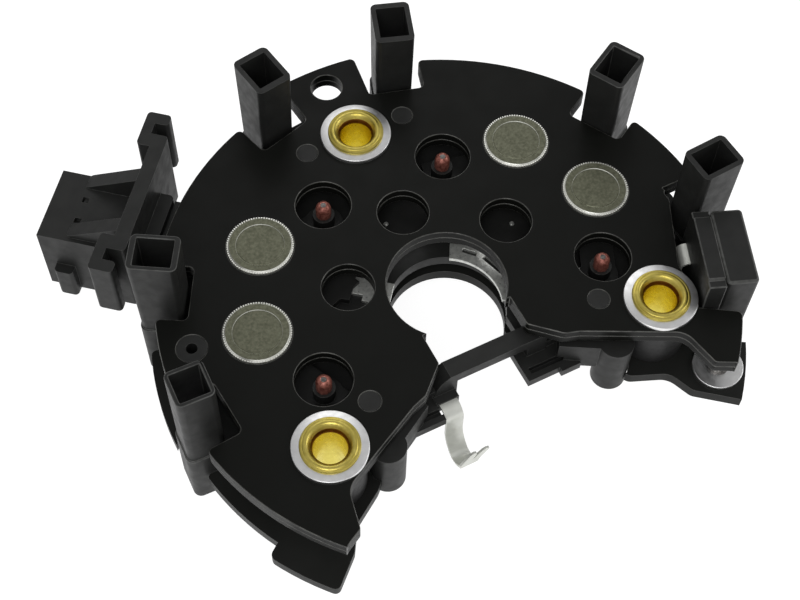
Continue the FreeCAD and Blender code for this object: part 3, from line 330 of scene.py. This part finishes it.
def softened(
    node: str, name: str, finish: Finish, width_mm: float, rim_highlight: Finish | None = None,
    corner_mm: float = 0.0, reshape: Callable[[bmesh.types.BMesh], None] | None = None,
) -> bpy.types.Object:
    """Stand a copy with rounded edges in for a CAD node.

    Args:
        node: the CAD node.
        name: the copy's name.
        finish: its surface.
        width_mm: how far the rounding reaches from each edge.
        rim_highlight: the lighter surface of the rounded edges, a painted highlight.
        corner_mm: how far its upright corners are rounded first.
        reshape: a small change to the form, before any rounding.

    Returns:
        The copy.
    """
    work = bmesh.new()
    work.from_mesh(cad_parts[node].data)
    bmesh.ops.remove_doubles(work, verts=work.verts, dist=JOINED)
    bmesh.ops.dissolve_limit(work, angle_limit=FLAT_ANGLE, verts=work.verts, edges=work.edges)
    if reshape:
        reshape(work)
    if corner_mm:
        radius = corner_mm * MM
        corners = upright_corners(work, radius)
        bmesh.ops.bevel(work, geom=corners, offset=radius, segments=5, profile=0.5, affect="EDGES")
    mesh = bpy.data.meshes.new(name)
    work.to_mesh(mesh)
    work.free()
    mesh.shade_smooth()
    piece = new_object(name, mesh)
    bevel = piece.modifiers.new("rounded_edges", "BEVEL")
    bevel.width = width_mm * MM
    bevel.segments = 3
    bevel.limit_method = "ANGLE"
    bevel.angle_limit = BEND_ANGLE
    bevel.miter_outer = "MITER_ARC"
    bevel.harden_normals = True
    # The rounded edges take the second, lighter material: a painted highlight along them.
    bevel.material = 1 if rim_highlight else -1
    flat = piece.modifiers.new("flat_faces", "WEIGHTED_NORMAL")
    flat.mode = "FACE_AREA"
    flat.weight = 100
    flat.keep_sharp = True
    return show(piece, finish, node, second=rim_highlight)


def lathe(name: str, profile: Sequence[Point], centre: Point, steps: int = 96) -> bpy.types.Object:
    """Turn a profile about an upright axis.

    Args:
        name: the object's name.
        profile: (radius, height) corners in millimetres, in order along the outline.
        centre: the axis's place in millimetres.
        steps: faces round the axis.

    Returns:
        The turned object.
    """
    work = bmesh.new()
    rings = []
    for radius, height in profile:
        if not radius:
            rings.append([work.verts.new((centre[0] * MM, centre[1] * MM, height * MM))])
            continue
        ring = []
        for step in range(steps):
            angle = math.tau * step / steps
            spot = (centre[0] + radius * math.cos(angle), centre[1] + radius * math.sin(angle), height)
            ring.append(work.verts.new(Vector(spot) * MM))
        rings.append(ring)
    closed = len(rings[0]) > 1
    pairs = list(zip(rings, rings[1:])) + ([(rings[-1], rings[0])] if closed else [])
    for low, high in pairs:
        for step in range(steps):
            ahead = (step + 1) % steps
            corners = [ring[spot % len(ring)] for ring, spot in
                       ((low, step), (low, ahead), (high, ahead), (high, step))]
            work.faces.new(list(dict.fromkeys(corners)))
    bmesh.ops.recalc_face_normals(work, faces=work.faces)
    mesh = bpy.data.meshes.new(name)
    work.to_mesh(mesh)
    work.free()
    mesh.shade_smooth()
    mesh.set_sharp_from_angle(angle=CREASE_ANGLE)
    return new_object(name, mesh)


def middle(node: str) -> Point:
    """The middle of a CAD node's box, seen from above, in millimetres."""
    low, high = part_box(node)
    return ((low[0] + high[0]) / 2 / MM, (low[1] + high[1]) / 2 / MM)


def levels(node: str) -> Point:
    """A CAD node's lowest and highest level in millimetres."""
    low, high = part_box(node)
    return (low[2] / MM, high[2] / MM)


@dataclass
class KnurlTree:
    """Geometry nodes that set fine upright ridges round a cap's rim."""

    name: str = "knurled_rim"
    sides: int = 6

    def build(self) -> bpy.types.NodeTree:
        """Build the tree, or return it if it is there."""
        if self.name in bpy.data.node_groups:
            return bpy.data.node_groups[self.name]
        tree = bpy.data.node_groups.new(self.name, "GeometryNodeTree")
        tree.is_modifier = True
        for label, kind in (
            ("Radius", "Float"), ("Ridges", "Int"), ("Ridge Radius", "Float"), ("Ridge Height", "Float"),
            ("Centre", "Vector"), ("Finish", "Material"),
        ):
            tree.interface.new_socket(label, in_out="INPUT", socket_type=f"NodeSocket{kind}")
        tree.interface.new_socket("Geometry", in_out="OUTPUT", socket_type="NodeSocketGeometry")
        graph = Graph(tree)
        given = graph.add("NodeGroupInput").outputs

        def made(kind: str, **inputs: object) -> bpy.types.NodeSocket:
            """Add one geometry node and return its first output."""
            return graph.add(f"GeometryNode{kind}", inputs).outputs[0]

        circle = made("MeshCircle", Vertices=given["Ridges"], Radius=given["Radius"])
        ridge = made(
            "MeshCylinder", Vertices=self.sides, Radius=given["Ridge Radius"], Depth=given["Ridge Height"],
        )
        placed = made("Transform", Geometry=circle, Translation=given["Centre"])
        ridges = made("RealizeInstances", Geometry=made("InstanceOnPoints", Points=placed, Instance=ridge))
        dressed = made("SetMaterial", Geometry=ridges, Material=given["Finish"])
        graph.add("NodeGroupOutput", {0: dressed})
        return tree

    def make(self, name: str, settings: dict[str, object]) -> bpy.types.Object:
        """Run the tree and keep the result as a mesh.

        Args:
            name: the object's name.
            settings: input name to value.

        Returns:
            The ring of ridges.
        """
        tree = self.build()
        piece = new_object(name, bpy.data.meshes.new(name))
        modifier = piece.modifiers.new(self.name, "NODES")
        modifier.node_group = tree
        for item in tree.interface.items_tree:
            if item.name in settings:
                modifier[item.identifier] = settings[item.name]
        seen = piece.evaluated_get(bpy.context.evaluated_depsgraph_get())
        mesh = bpy.data.meshes.new_from_object(seen)
        piece.modifiers.remove(modifier)
        piece.data = mesh
        return piece


@dataclass
class HeatSinks:
    """The two upper sheets and the lower one."""

    shoulder: float = 0.4
    corner: float = 1.1
    tab_side: Point = (7.88, 54.22)
    step_across: Point = (-0.1, 1.5)
    step_along: Point = (-0.8, 0.4)

    def straighten(self, work: bmesh.types.BMesh) -> None:
        """Take the small step out of the hole tab's sides."""
        x, y = self.tab_side
        near, far = (x + reach for reach in self.step_across)
        back, front = (y + reach for reach in self.step_along)
        heights = {round(vert.co.z, 6) for vert in work.verts}
        for side in (-1, 1):
            for height in heights:
                step = [vert for vert in work.verts if abs(vert.co.z - height) < LEVEL
                        and near < side * vert.co.x / MM < far and back < vert.co.y / MM < front]
                bmesh.ops.pointmerge(work, verts=step, merge_co=(side * x * MM, y * MM, height))

    def build(self) -> None:
        """Round the edges of all three sheets."""
        for node, name in (("upper_sheet", "top_sheet"), ("second_sheet", "under_sheet")):
            softened(node, name, COAT, self.shoulder, COAT_EDGE_HIGHLIGHT, self.corner, self.straighten)
        # The lower sheet takes the lighter copy of the coat: painted light against the upper sheets' shade.
        softened("lower_heat_sink", "lower_sheet", LOWER_COAT_PAINTED_LIGHT, self.shoulder, COAT_EDGE_HIGHLIGHT, self.corner)


@dataclass
class Diodes:
    """Knurled press-fit diode cups with their leads and ferrules.

    A chamfer's or a rolled end's corners are their distances from a radius and from a level. The walls
    are distances from the groove's radius.
    """

    radius: float = 6.4
    body: float = 6.3
    groove: float = 4.55
    recess: float = 0.03
    groove_depth: float = 0.12
    groove_walls: tuple[float, float, float, float] = (-0.14, -0.05, 0.03, 0.12)
    chamfer: tuple[Point, ...] = ((-0.4, 0.0), (-0.04, 0.36), (0.0, 0.46))
    back_chamfer: float = 0.4
    highlight_rim: float = 0.45
    highlight_wall: Point = (0.04, 0.12)
    ridges: int = 80
    ridge_radius: float = 0.16
    ridge_short: float = 0.36
    ferrule: float = 1.5
    ferrule_rise: float = 0.5
    ferrule_steps: int = 40
    rolled_end: tuple[Point, ...] = ((0.0, -1.2), (-0.1, -0.75), (-0.35, -0.32), (-0.7, -0.06))
    tip_round: float = 0.15
    dimple: float = 0.45
    foot: float = 0.3
    lead: float = 0.85
    lead_edge: float = 0.12

    def profile(self, low: float, high: float, upward: bool) -> list[Point]:
        """Outline of one cup.

        Args:
            low: its lowest level.
            high: its highest level.
            upward: whether its recessed face is on top.

        Returns:
            (radius, level) corners.
        """
        face, back, way = (high, low, -1.0) if upward else (low, high, 1.0)
        inner, floor_start, floor_end, outer = (self.groove + wall for wall in self.groove_walls)
        return [
            (0.0, face + way * self.recess),
            (inner, face + way * self.recess),
            (floor_start, face + way * self.groove_depth),
            (floor_end, face + way * self.groove_depth),
            (outer, face),
            *((self.body + out, face + way * down) for out, down in self.chamfer),
            (self.body, back - way * self.back_chamfer),
            (self.body - self.back_chamfer, back),
            (0.0, back),
        ]

    def paint_highlight(self, cap: bpy.types.Object, centre: Point) -> None:
        """Paint a highlight on a cup's chamfer and on the wall of its groove with the lighter nickel."""
        wall_start, wall_end = (self.groove + wall for wall in self.highlight_wall)
        for face in cap.data.polygons:
            reach = math.hypot(face.center.x / MM - centre[0], face.center.y / MM - centre[1])
            if reach > self.radius - self.highlight_rim or wall_start < reach < wall_end:
                face.material_index = 1

    def dome(self, low: float, high: float) -> list[Point]:
        """Outline of a ferrule whose end is rolled over its lead."""
        return [
            (self.lead, low),
            (self.ferrule, low),
            *((self.ferrule + out, high + up) for out, up in self.rolled_end),
            (self.lead - self.tip_round, high),
            (self.dimple, high - self.tip_round),
            (self.dimple, low + self.foot),
        ]

    def build(self) -> None:
        """Build the eight cups and dress their leads."""
        knurls = KnurlTree()
        for row, upward in (("upper", True), ("lower", False)):
            for number in range(1, 5):
                node = f"{row}_diode_{number}"
                centre = middle(node)
                low, high = levels(node)
                cap = lathe(f"{row}_cap_{number}", self.profile(low, high, upward), centre)
                # The knurled ridges take the lighter nickel: a painted highlight on the rim.
                rim = knurls.make(f"{row}_rim_{number}", {
                    "Radius": (self.radius - self.ridge_radius) * MM,
                    "Ridges": self.ridges,
                    "Ridge Radius": self.ridge_radius * MM,
                    "Ridge Height": (high - low - self.ridge_short) * MM,
                    "Centre": Vector((*centre, (low + high) / 2)) * MM,
                    "Finish": CAP_RIM_HIGHLIGHT.material(),
                })
                show(rim, CAP_RIM_HIGHLIGHT)
                show(cap, CAP_METAL, node, second=CAP_RIM_HIGHLIGHT)
                self.paint_highlight(cap, centre)
                softened(f"{row}_lead_{number}", f"{row}_wire_{number}", LEAD, self.lead_edge)
        for number in range(1, 5):
            node = f"lead_ferrule_{number}"
            low, high = levels(node)
            outline = self.dome(low, high + self.ferrule_rise)
            show(lathe(f"ferrule_{number}", outline, middle(node), self.ferrule_steps), COPPER, node)


@dataclass
class Fixings:
    """Tubular rivets with their bright washers and insulating sleeves.

    The tuples hold corners, each one as its distance from a radius and from the top level.
    """

    bore: float = 3.15
    barrel: float = 3.9
    flange: float = 5.5
    flare: float = 5.0
    flare_thick: float = 0.9
    seat_depth: float = 0.8
    rolled_flange: tuple[Point, ...] = (
        (-0.12, -0.8), (0.0, -0.66), (0.0, -0.4), (-0.14, -0.18), (-0.4, -0.1), (-0.55, -0.16),
        (-0.7, -0.06), (-1.05, 0.0), (-1.3, -0.04), (-1.55, -0.2), (-1.75, -0.5),
    )
    throat: tuple[Point, ...] = ((0.3, -0.9), (0.08, -1.3), (0.0, -1.9))
    amber_reach: float = 0.03
    brown_reach: float = 0.2
    washer: float = 7.0
    washer_room: float = 0.05
    washer_rim: tuple[Point, ...] = ((0.0, -0.14), (-0.056, -0.042), (-0.14, 0.0))
    sleeve_edge: float = 0.2

    def eyelet(self, low: float, high: float) -> list[Point]:
        """Outline of a rivet: flare below, straight barrel, rolled flange above, throat of the bore."""
        return [
            (self.bore, low),
            (self.flare, low),
            (self.flare, low + self.flare_thick),
            (self.barrel, low + self.flare_thick),
            (self.barrel, high - self.seat_depth),
            *((self.flange + out, high + up) for out, up in self.rolled_flange),
            *((self.bore + out, high + up) for out, up in self.throat),
        ]

    def ring(self, low: float, high: float) -> list[Point]:
        """Outline of a washer with a rounded upper rim."""
        inner = self.barrel + self.washer_room
        rim = [(self.washer + out, high + up) for out, up in self.washer_rim]
        return [(inner, low), (self.washer, low), *rim, (inner, high)]

    def line_bore(self, rivet: bpy.types.Object, centre: Point) -> None:
        """Give the walls of a rivet's bore a lighter amber, a painted reflection, below a darker brown lip,
        which is painted shade.
        """
        amber, brown = 1, 2
        rivet.data.materials.append(LIP_PAINTED_SHADE.material())
        for face in rivet.data.polygons:
            reach = math.hypot(face.center.x / MM - centre[0], face.center.y / MM - centre[1])
            # The bore's walls take the lighter amber: painted reflection.
            if reach < self.bore + self.amber_reach:
                face.material_index = amber
            # The lip where it turns into the bore takes the dark brown: painted shade.
            elif reach < self.bore + self.brown_reach:
                face.material_index = brown

    def build(self) -> None:
        """Build the three rivets, washers and sleeves."""
        for number in (1, 2, 3):
            node = f"eyelet_{number}"
            centre = middle(node)
            rivet = lathe(f"rivet_{number}", self.eyelet(*levels(node)), centre)
            show(rivet, GOLD, node, second=BORE_PAINTED_REFLECTION)
            self.line_bore(rivet, centre)
            seat = f"eyelet_washer_{number}"
            show(lathe(f"washer_{number}", self.ring(*levels(seat)), centre), ZINC, seat)
            softened(f"eyelet_sleeve_{number}", f"sleeve_{number}", INSULATOR, self.sleeve_edge)


@dataclass(frozen=True)
class Draft:
    """How a square tube widens towards its top: the direction of its depth, and its half sizes."""

    centre: Point
    turn: float
    top: float
    half_depth: float
    deeper: float
    wider: float
    half_width: float = 3.6
    half_wall: float = 0.55
    depth_slack: float = 0.2
    top_slack: float = 0.01

    def __call__(self, work: bmesh.types.BMesh) -> None:
        """Move the outer corners of the tube's top outwards."""
        angle = math.radians(self.turn)
        along = Vector((math.cos(angle), math.sin(angle)))
        aside = Vector((-math.sin(angle), math.cos(angle)))
        for vert in work.verts:
            spot = vert.co.xy / MM - Vector(self.centre)
            depth, width = spot.dot(along), spot.dot(aside)
            deep = abs(depth) > self.half_depth - self.half_wall - self.depth_slack
            wide = abs(width) > self.half_width - self.half_wall
            if vert.co.z / MM < self.top - self.top_slack or not (deep or wide):
                continue
            moved = along * math.copysign(self.deeper, depth) + aside * math.copysign(self.wider, width)
            vert.co.x += moved.x * MM
            vert.co.y += moved.y * MM


@dataclass
class Moulding:
    """The plastic carrier with its towers, posts, bridge and connector.

    Each tower has its turn in degrees, its depth beyond the usual, and how far its top reaches out
    along its depth and its width.
    """

    edge: float = 0.25
    connector_edge: float = 0.5
    corner: float = 0.8
    rim: float = 0.3
    blade_edge: float = 0.1
    half_depth: float = 4.3
    towers: tuple[tuple[float, float, float, float], ...] = (
        (99.7, 0.0, 0.5, 0.2), (71.0, 0.4, 0.45, 0.2), (29.0, 0.4, 0.4, 0.2),
        (3.5, 0.0, 0.25, 0.2), (149.0, -0.1, 0.35, 0.05), (178.0, -1.4, 0.0, 0.0),
    )

    def build(self) -> None:
        """Round the moulding's edges and dress the blades in the connector."""
        softened("carrier", "moulded_carrier", PLASTIC, self.edge, PLASTIC_EDGE_HIGHLIGHT)
        softened(
            "connector_shell", "moulded_connector", PLASTIC, self.connector_edge, PLASTIC_EDGE_HIGHLIGHT, self.corner,
        )
        for number, (turn, extra, deeper, wider) in enumerate(self.towers, 1):
            node = f"wire_tower_{number}"
            draft = Draft(middle(node), turn, levels(node)[1], self.half_depth + extra / 2, deeper, wider)
            softened(node, f"tower_{number}", PLASTIC, self.rim, PLASTIC_EDGE_HIGHLIGHT, reshape=draft)
        for number in (1, 2, 3):
            softened(f"connector_pin_{number}", f"blade_{number}", BLADE, self.blade_edge)


@dataclass
class Metalwork:
    """Phase strips, the contact clip, the rivet at the right end, and two pips on the web.

    A pip's corners are (radius, level), and those of the rivet's head (radius, height over its washer).
    """

    pips: tuple[Point, ...] = ((-1.91, 22.25), (20.5, 11.3))
    pip: tuple[Point, ...] = ((0.0, 7.7), (0.5, 7.7), (0.5, 7.95), (0.35, 8.14), (0.0, 8.2))
    pip_steps: int = 24
    strip_edge: float = 0.12
    clip_edge: float = 0.1
    washer_edge: float = 0.15
    tail: Point = (2.7, 0.9)
    shank: float = 1.6
    head: tuple[Point, ...] = ((2.1, 0.0), (2.1, 0.4), (1.7, 0.85), (1.0, 1.1), (0.0, 1.15))
    head_steps: int = 48

    def rivet(self) -> list[Point]:
        """Outline of the rivet at the right end: flat tail, shank, and a low domed head on its washer."""
        low = levels("earth_rivet")[0]
        seat = levels("earth_washer")[1]
        radius, thick = self.tail
        tail = [(0.0, low), (radius, low), (radius, low + thick), (self.shank, low + thick)]
        return [*tail, (self.shank, seat), *((out, seat + up) for out, up in self.head)]

    def build(self) -> None:
        """Dress each strip, the clip and the rivet, and set the pips."""
        for number, spot in enumerate(self.pips, 1):
            show(lathe(f"pip_{number}", self.pip, spot, self.pip_steps), TIN)
        for number in range(1, 5):
            softened(f"phase_strip_{number}", f"tinned_strip_{number}", TIN, self.strip_edge)
        softened("contact_clip", "spring_clip", SPRING, self.clip_edge)
        softened("earth_washer", "end_washer", ZINC, self.washer_edge)
        show(lathe("end_rivet", self.rivet(), middle("earth_rivet"), self.head_steps), LEAD, "earth_rivet")


@dataclass
class Capacitor:
    """Potted capacitor: case, cover and strap."""

    edge: float = 0.5
    corner: float = 0.8
    spot: Point = (47.8, -18.66)
    turn: float = 68.7
    face: float = 4.75
    shift: float = 4.0
    width: float = 4.6
    reach: float = 1.8
    bend: float = 1.7
    bend_steps: int = 8
    thick: float = 0.4

    def build(self) -> None:
        """Round the case and the cover, and dress the strap."""
        softened("capacitor_case", "potted_case", CASE, self.edge, PLASTIC_EDGE_HIGHLIGHT, self.corner)
        softened("capacitor_cover", "case_cover", CASE, self.edge, PLASTIC_EDGE_HIGHLIGHT)
        self.strap()

    def strap(self) -> None:
        """Bend the strap that leaves the cover's face and drops beside it."""
        turn = math.radians(self.turn)
        along = Vector((math.cos(turn), math.sin(turn), 0.0))
        inward = Vector((-math.sin(turn), math.cos(turn), 0.0))
        low, high = levels("capacitor_terminal")
        start = Vector((*self.spot, 0.0)) + inward * self.face + along * self.shift
        angles = [math.pi / 2 * step / self.bend_steps for step in range(self.bend_steps + 1)]
        line = [(math.sin(angle), math.cos(angle)) for angle in angles]
        centre = high - self.bend
        reach, bend = self.reach - self.thick, self.bend - self.thick
        outer = [(self.reach * x, centre + self.bend * y) for x, y in line] + [(self.reach, low)]
        inner = [(reach, low)] + [(reach * x, centre + bend * y) for x, y in reversed(line)]
        section = outer + inner
        work = bmesh.new()
        rings = []
        for side in (-self.width / 2, self.width / 2):
            spots = [start + along * side + inward * x + Vector((0.0, 0.0, z)) for x, z in section]
            rings.append([work.verts.new(spot * MM) for spot in spots])
        count = len(section)
        for index in range(count):
            ahead = (index + 1) % count
            work.faces.new([rings[0][index], rings[0][ahead], rings[1][ahead], rings[1][index]])
        for ring in rings:
            work.faces.new(ring)
        bmesh.ops.recalc_face_normals(work, faces=work.faces)
        mesh = bpy.data.meshes.new("case_strap")
        work.to_mesh(mesh)
        work.free()
        mesh.shade_smooth()
        mesh.set_sharp_from_angle(angle=CREASE_ANGLE)
        show(new_object("case_strap", mesh), SPRING, "capacitor_terminal")


@dataclass
class Studio:
    """Floor, soft lamps, white surround and the camera.

    Each softbox has its name, its place and its side in metres, and its power in watts.
    """

    camera_mm: Spot = (-78.2338, -122.3872, 254.4732)
    right: Spot = (0.88999, -0.45556, 0.019554)
    down: Spot = (-0.383142, -0.770387, -0.509613)
    ahead: Spot = (0.247224, 0.446058, -0.860182)
    focal_px: float = 1495.47
    frame_px: float = 800.0
    sensor: float = 36.0
    softboxes: tuple[tuple[str, Spot, float, float], ...] = (
        ("front_softbox", (-0.35, -0.45, 0.7), 0.5, 2.4),
        ("right_softbox", (0.6, -0.15, 0.4), 0.3, 0.8),
        ("back_softbox", (0.25, 0.6, 0.65), 0.35, 0.6),
    )
    aim: Spot = (0.0, 0.01, 0.02)
    horizon: float = 0.6
    zenith: float = 0.45
    zenith_height: float = 0.7
    floor_mm: float = -6.75
    floor_reach: float = 1.2
    floor_grey: float = 0.8
    floor_shade: float = 0.3
    floor_glow: float = 0.93

    def camera(self) -> None:
        """Set up the camera where the photograph was taken from."""
        data = bpy.data.cameras.new("camera")
        data.sensor_width = self.sensor
        data.lens = self.focal_px * self.sensor / self.frame_px
        data.clip_start = 0.01
        data.clip_end = 20.0
        piece = bpy.data.objects.new("camera", data)
        axes = Matrix((self.right, [-x for x in self.down], [-x for x in self.ahead])).transposed()
        piece.matrix_world = Matrix.Translation(Vector(self.camera_mm) * MM) @ axes.to_4x4()
        bpy.context.scene.collection.objects.link(piece)
        bpy.context.scene.camera = piece

    def lamp(self, name: str, place: Spot, size: float, power: float) -> None:
        """Hang a square soft lamp that looks at the object.

        Args:
            name: the lamp's name.
            place: where it hangs, in metres.
            size: its side in metres.
            power: its watts.
        """
        data = bpy.data.lights.new(name, "AREA")
        data.shape = "SQUARE"
        data.size = size
        data.energy = power
        piece = bpy.data.objects.new(name, data)
        piece.location = place
        piece.rotation_euler = (Vector(self.aim) - Vector(place)).to_track_quat("-Z", "Y").to_euler()
        bpy.context.scene.collection.objects.link(piece)

    def bright_rays(self, graph: Graph) -> bpy.types.NodeSocket:
        """1 for camera, mirror and see-through rays, which meet the floor's white, and 0 for the rest."""
        rays = graph.add("ShaderNodeLightPath").outputs
        polished = {0: rays["Is Glossy Ray"], 1: rays["Is Transmission Ray"]}
        seen = {
            0: rays["Is Camera Ray"],
            1: graph.add("ShaderNodeMath", polished, operation="MAXIMUM").outputs[0],
        }
        return graph.add("ShaderNodeMath", seen, operation="MAXIMUM").outputs[0]

    def world(self) -> None:
        """Soft grey light from all round, on a white surround for the camera."""
        world = bpy.data.worlds.new("surround")
        bpy.context.scene.world = world
        world.use_nodes = True
        graph = Graph(world.node_tree)
        white = (1.0, 1.0, 1.0, 1.0)
        from_camera = graph.add("ShaderNodeLightPath").outputs["Is Camera Ray"]
        direction = graph.add("ShaderNodeTexCoord").outputs["Generated"]
        sky = graph.add("ShaderNodeMapRange", {
            "Value": graph.add("ShaderNodeSeparateXYZ", {0: direction}).outputs[2],
            "From Min": 0.0, "From Max": self.zenith_height, "To Min": self.horizon, "To Max": self.zenith,
        })
        light = graph.add("ShaderNodeBackground", {"Color": white, "Strength": sky.outputs[0]})
        plain = graph.add("ShaderNodeBackground", {"Color": white, "Strength": 1.0})
        settings = {0: from_camera, 1: light.outputs[0], 2: plain.outputs[0]}
        mixed = graph.add("ShaderNodeMixShader", settings)
        graph.add("ShaderNodeOutputWorld", {"Surface": mixed.outputs[0]})

    def floor(self) -> None:
        """A plain floor that looks white, with a faint shadow, to the camera and to polished surfaces."""
        mesh = bpy.data.meshes.new("floor")
        reach = self.floor_reach
        corners = [(-reach, -reach), (reach, -reach), (reach, reach), (-reach, reach)]
        mesh.from_pydata([(x, y, self.floor_mm * MM) for x, y in corners], [], [(0, 1, 2, 3)])
        piece = new_object("floor", mesh)
        paint = bpy.data.materials.new("pale_floor")
        paint.use_nodes = True
        graph = Graph(paint.node_tree)
        matte = graph.add("ShaderNodeBsdfDiffuse", {"Color": (*[self.floor_grey] * 3, 1.0)})
        shade = graph.add("ShaderNodeBsdfDiffuse", {"Color": (*[self.floor_shade] * 3, 1.0)})
        glow = graph.add("ShaderNodeEmission", {"Color": (1.0, 1.0, 1.0, 1.0), "Strength": self.floor_glow})
        both = graph.add("ShaderNodeAddShader", {0: shade.outputs[0], 1: glow.outputs[0]})
        settings = {0: self.bright_rays(graph), 1: matte.outputs[0], 2: both.outputs[0]}
        mixed = graph.add("ShaderNodeMixShader", settings)
        graph.add("ShaderNodeOutputMaterial", {"Surface": mixed.outputs[0]})
        mesh.materials.append(paint)

    def build(self) -> None:
        """Set the whole studio up."""
        self.camera()
        self.world()
        self.floor()
        for softbox in self.softboxes:
            self.lamp(*softbox)
        bpy.context.scene.view_settings.view_transform = "Standard"


def main() -> None:
    """Build the rectifier's pieces in order, then the studio."""
    logging.basicConfig(level=logging.INFO, format="%(name)s %(message)s")
    for part in (HeatSinks(), Moulding(), Diodes(), Fixings(), Metalwork(), Capacitor(), Studio()):
        LOG.info("building %s", type(part).__name__)
        part.build()


if __name__ == "__main__":
    main()
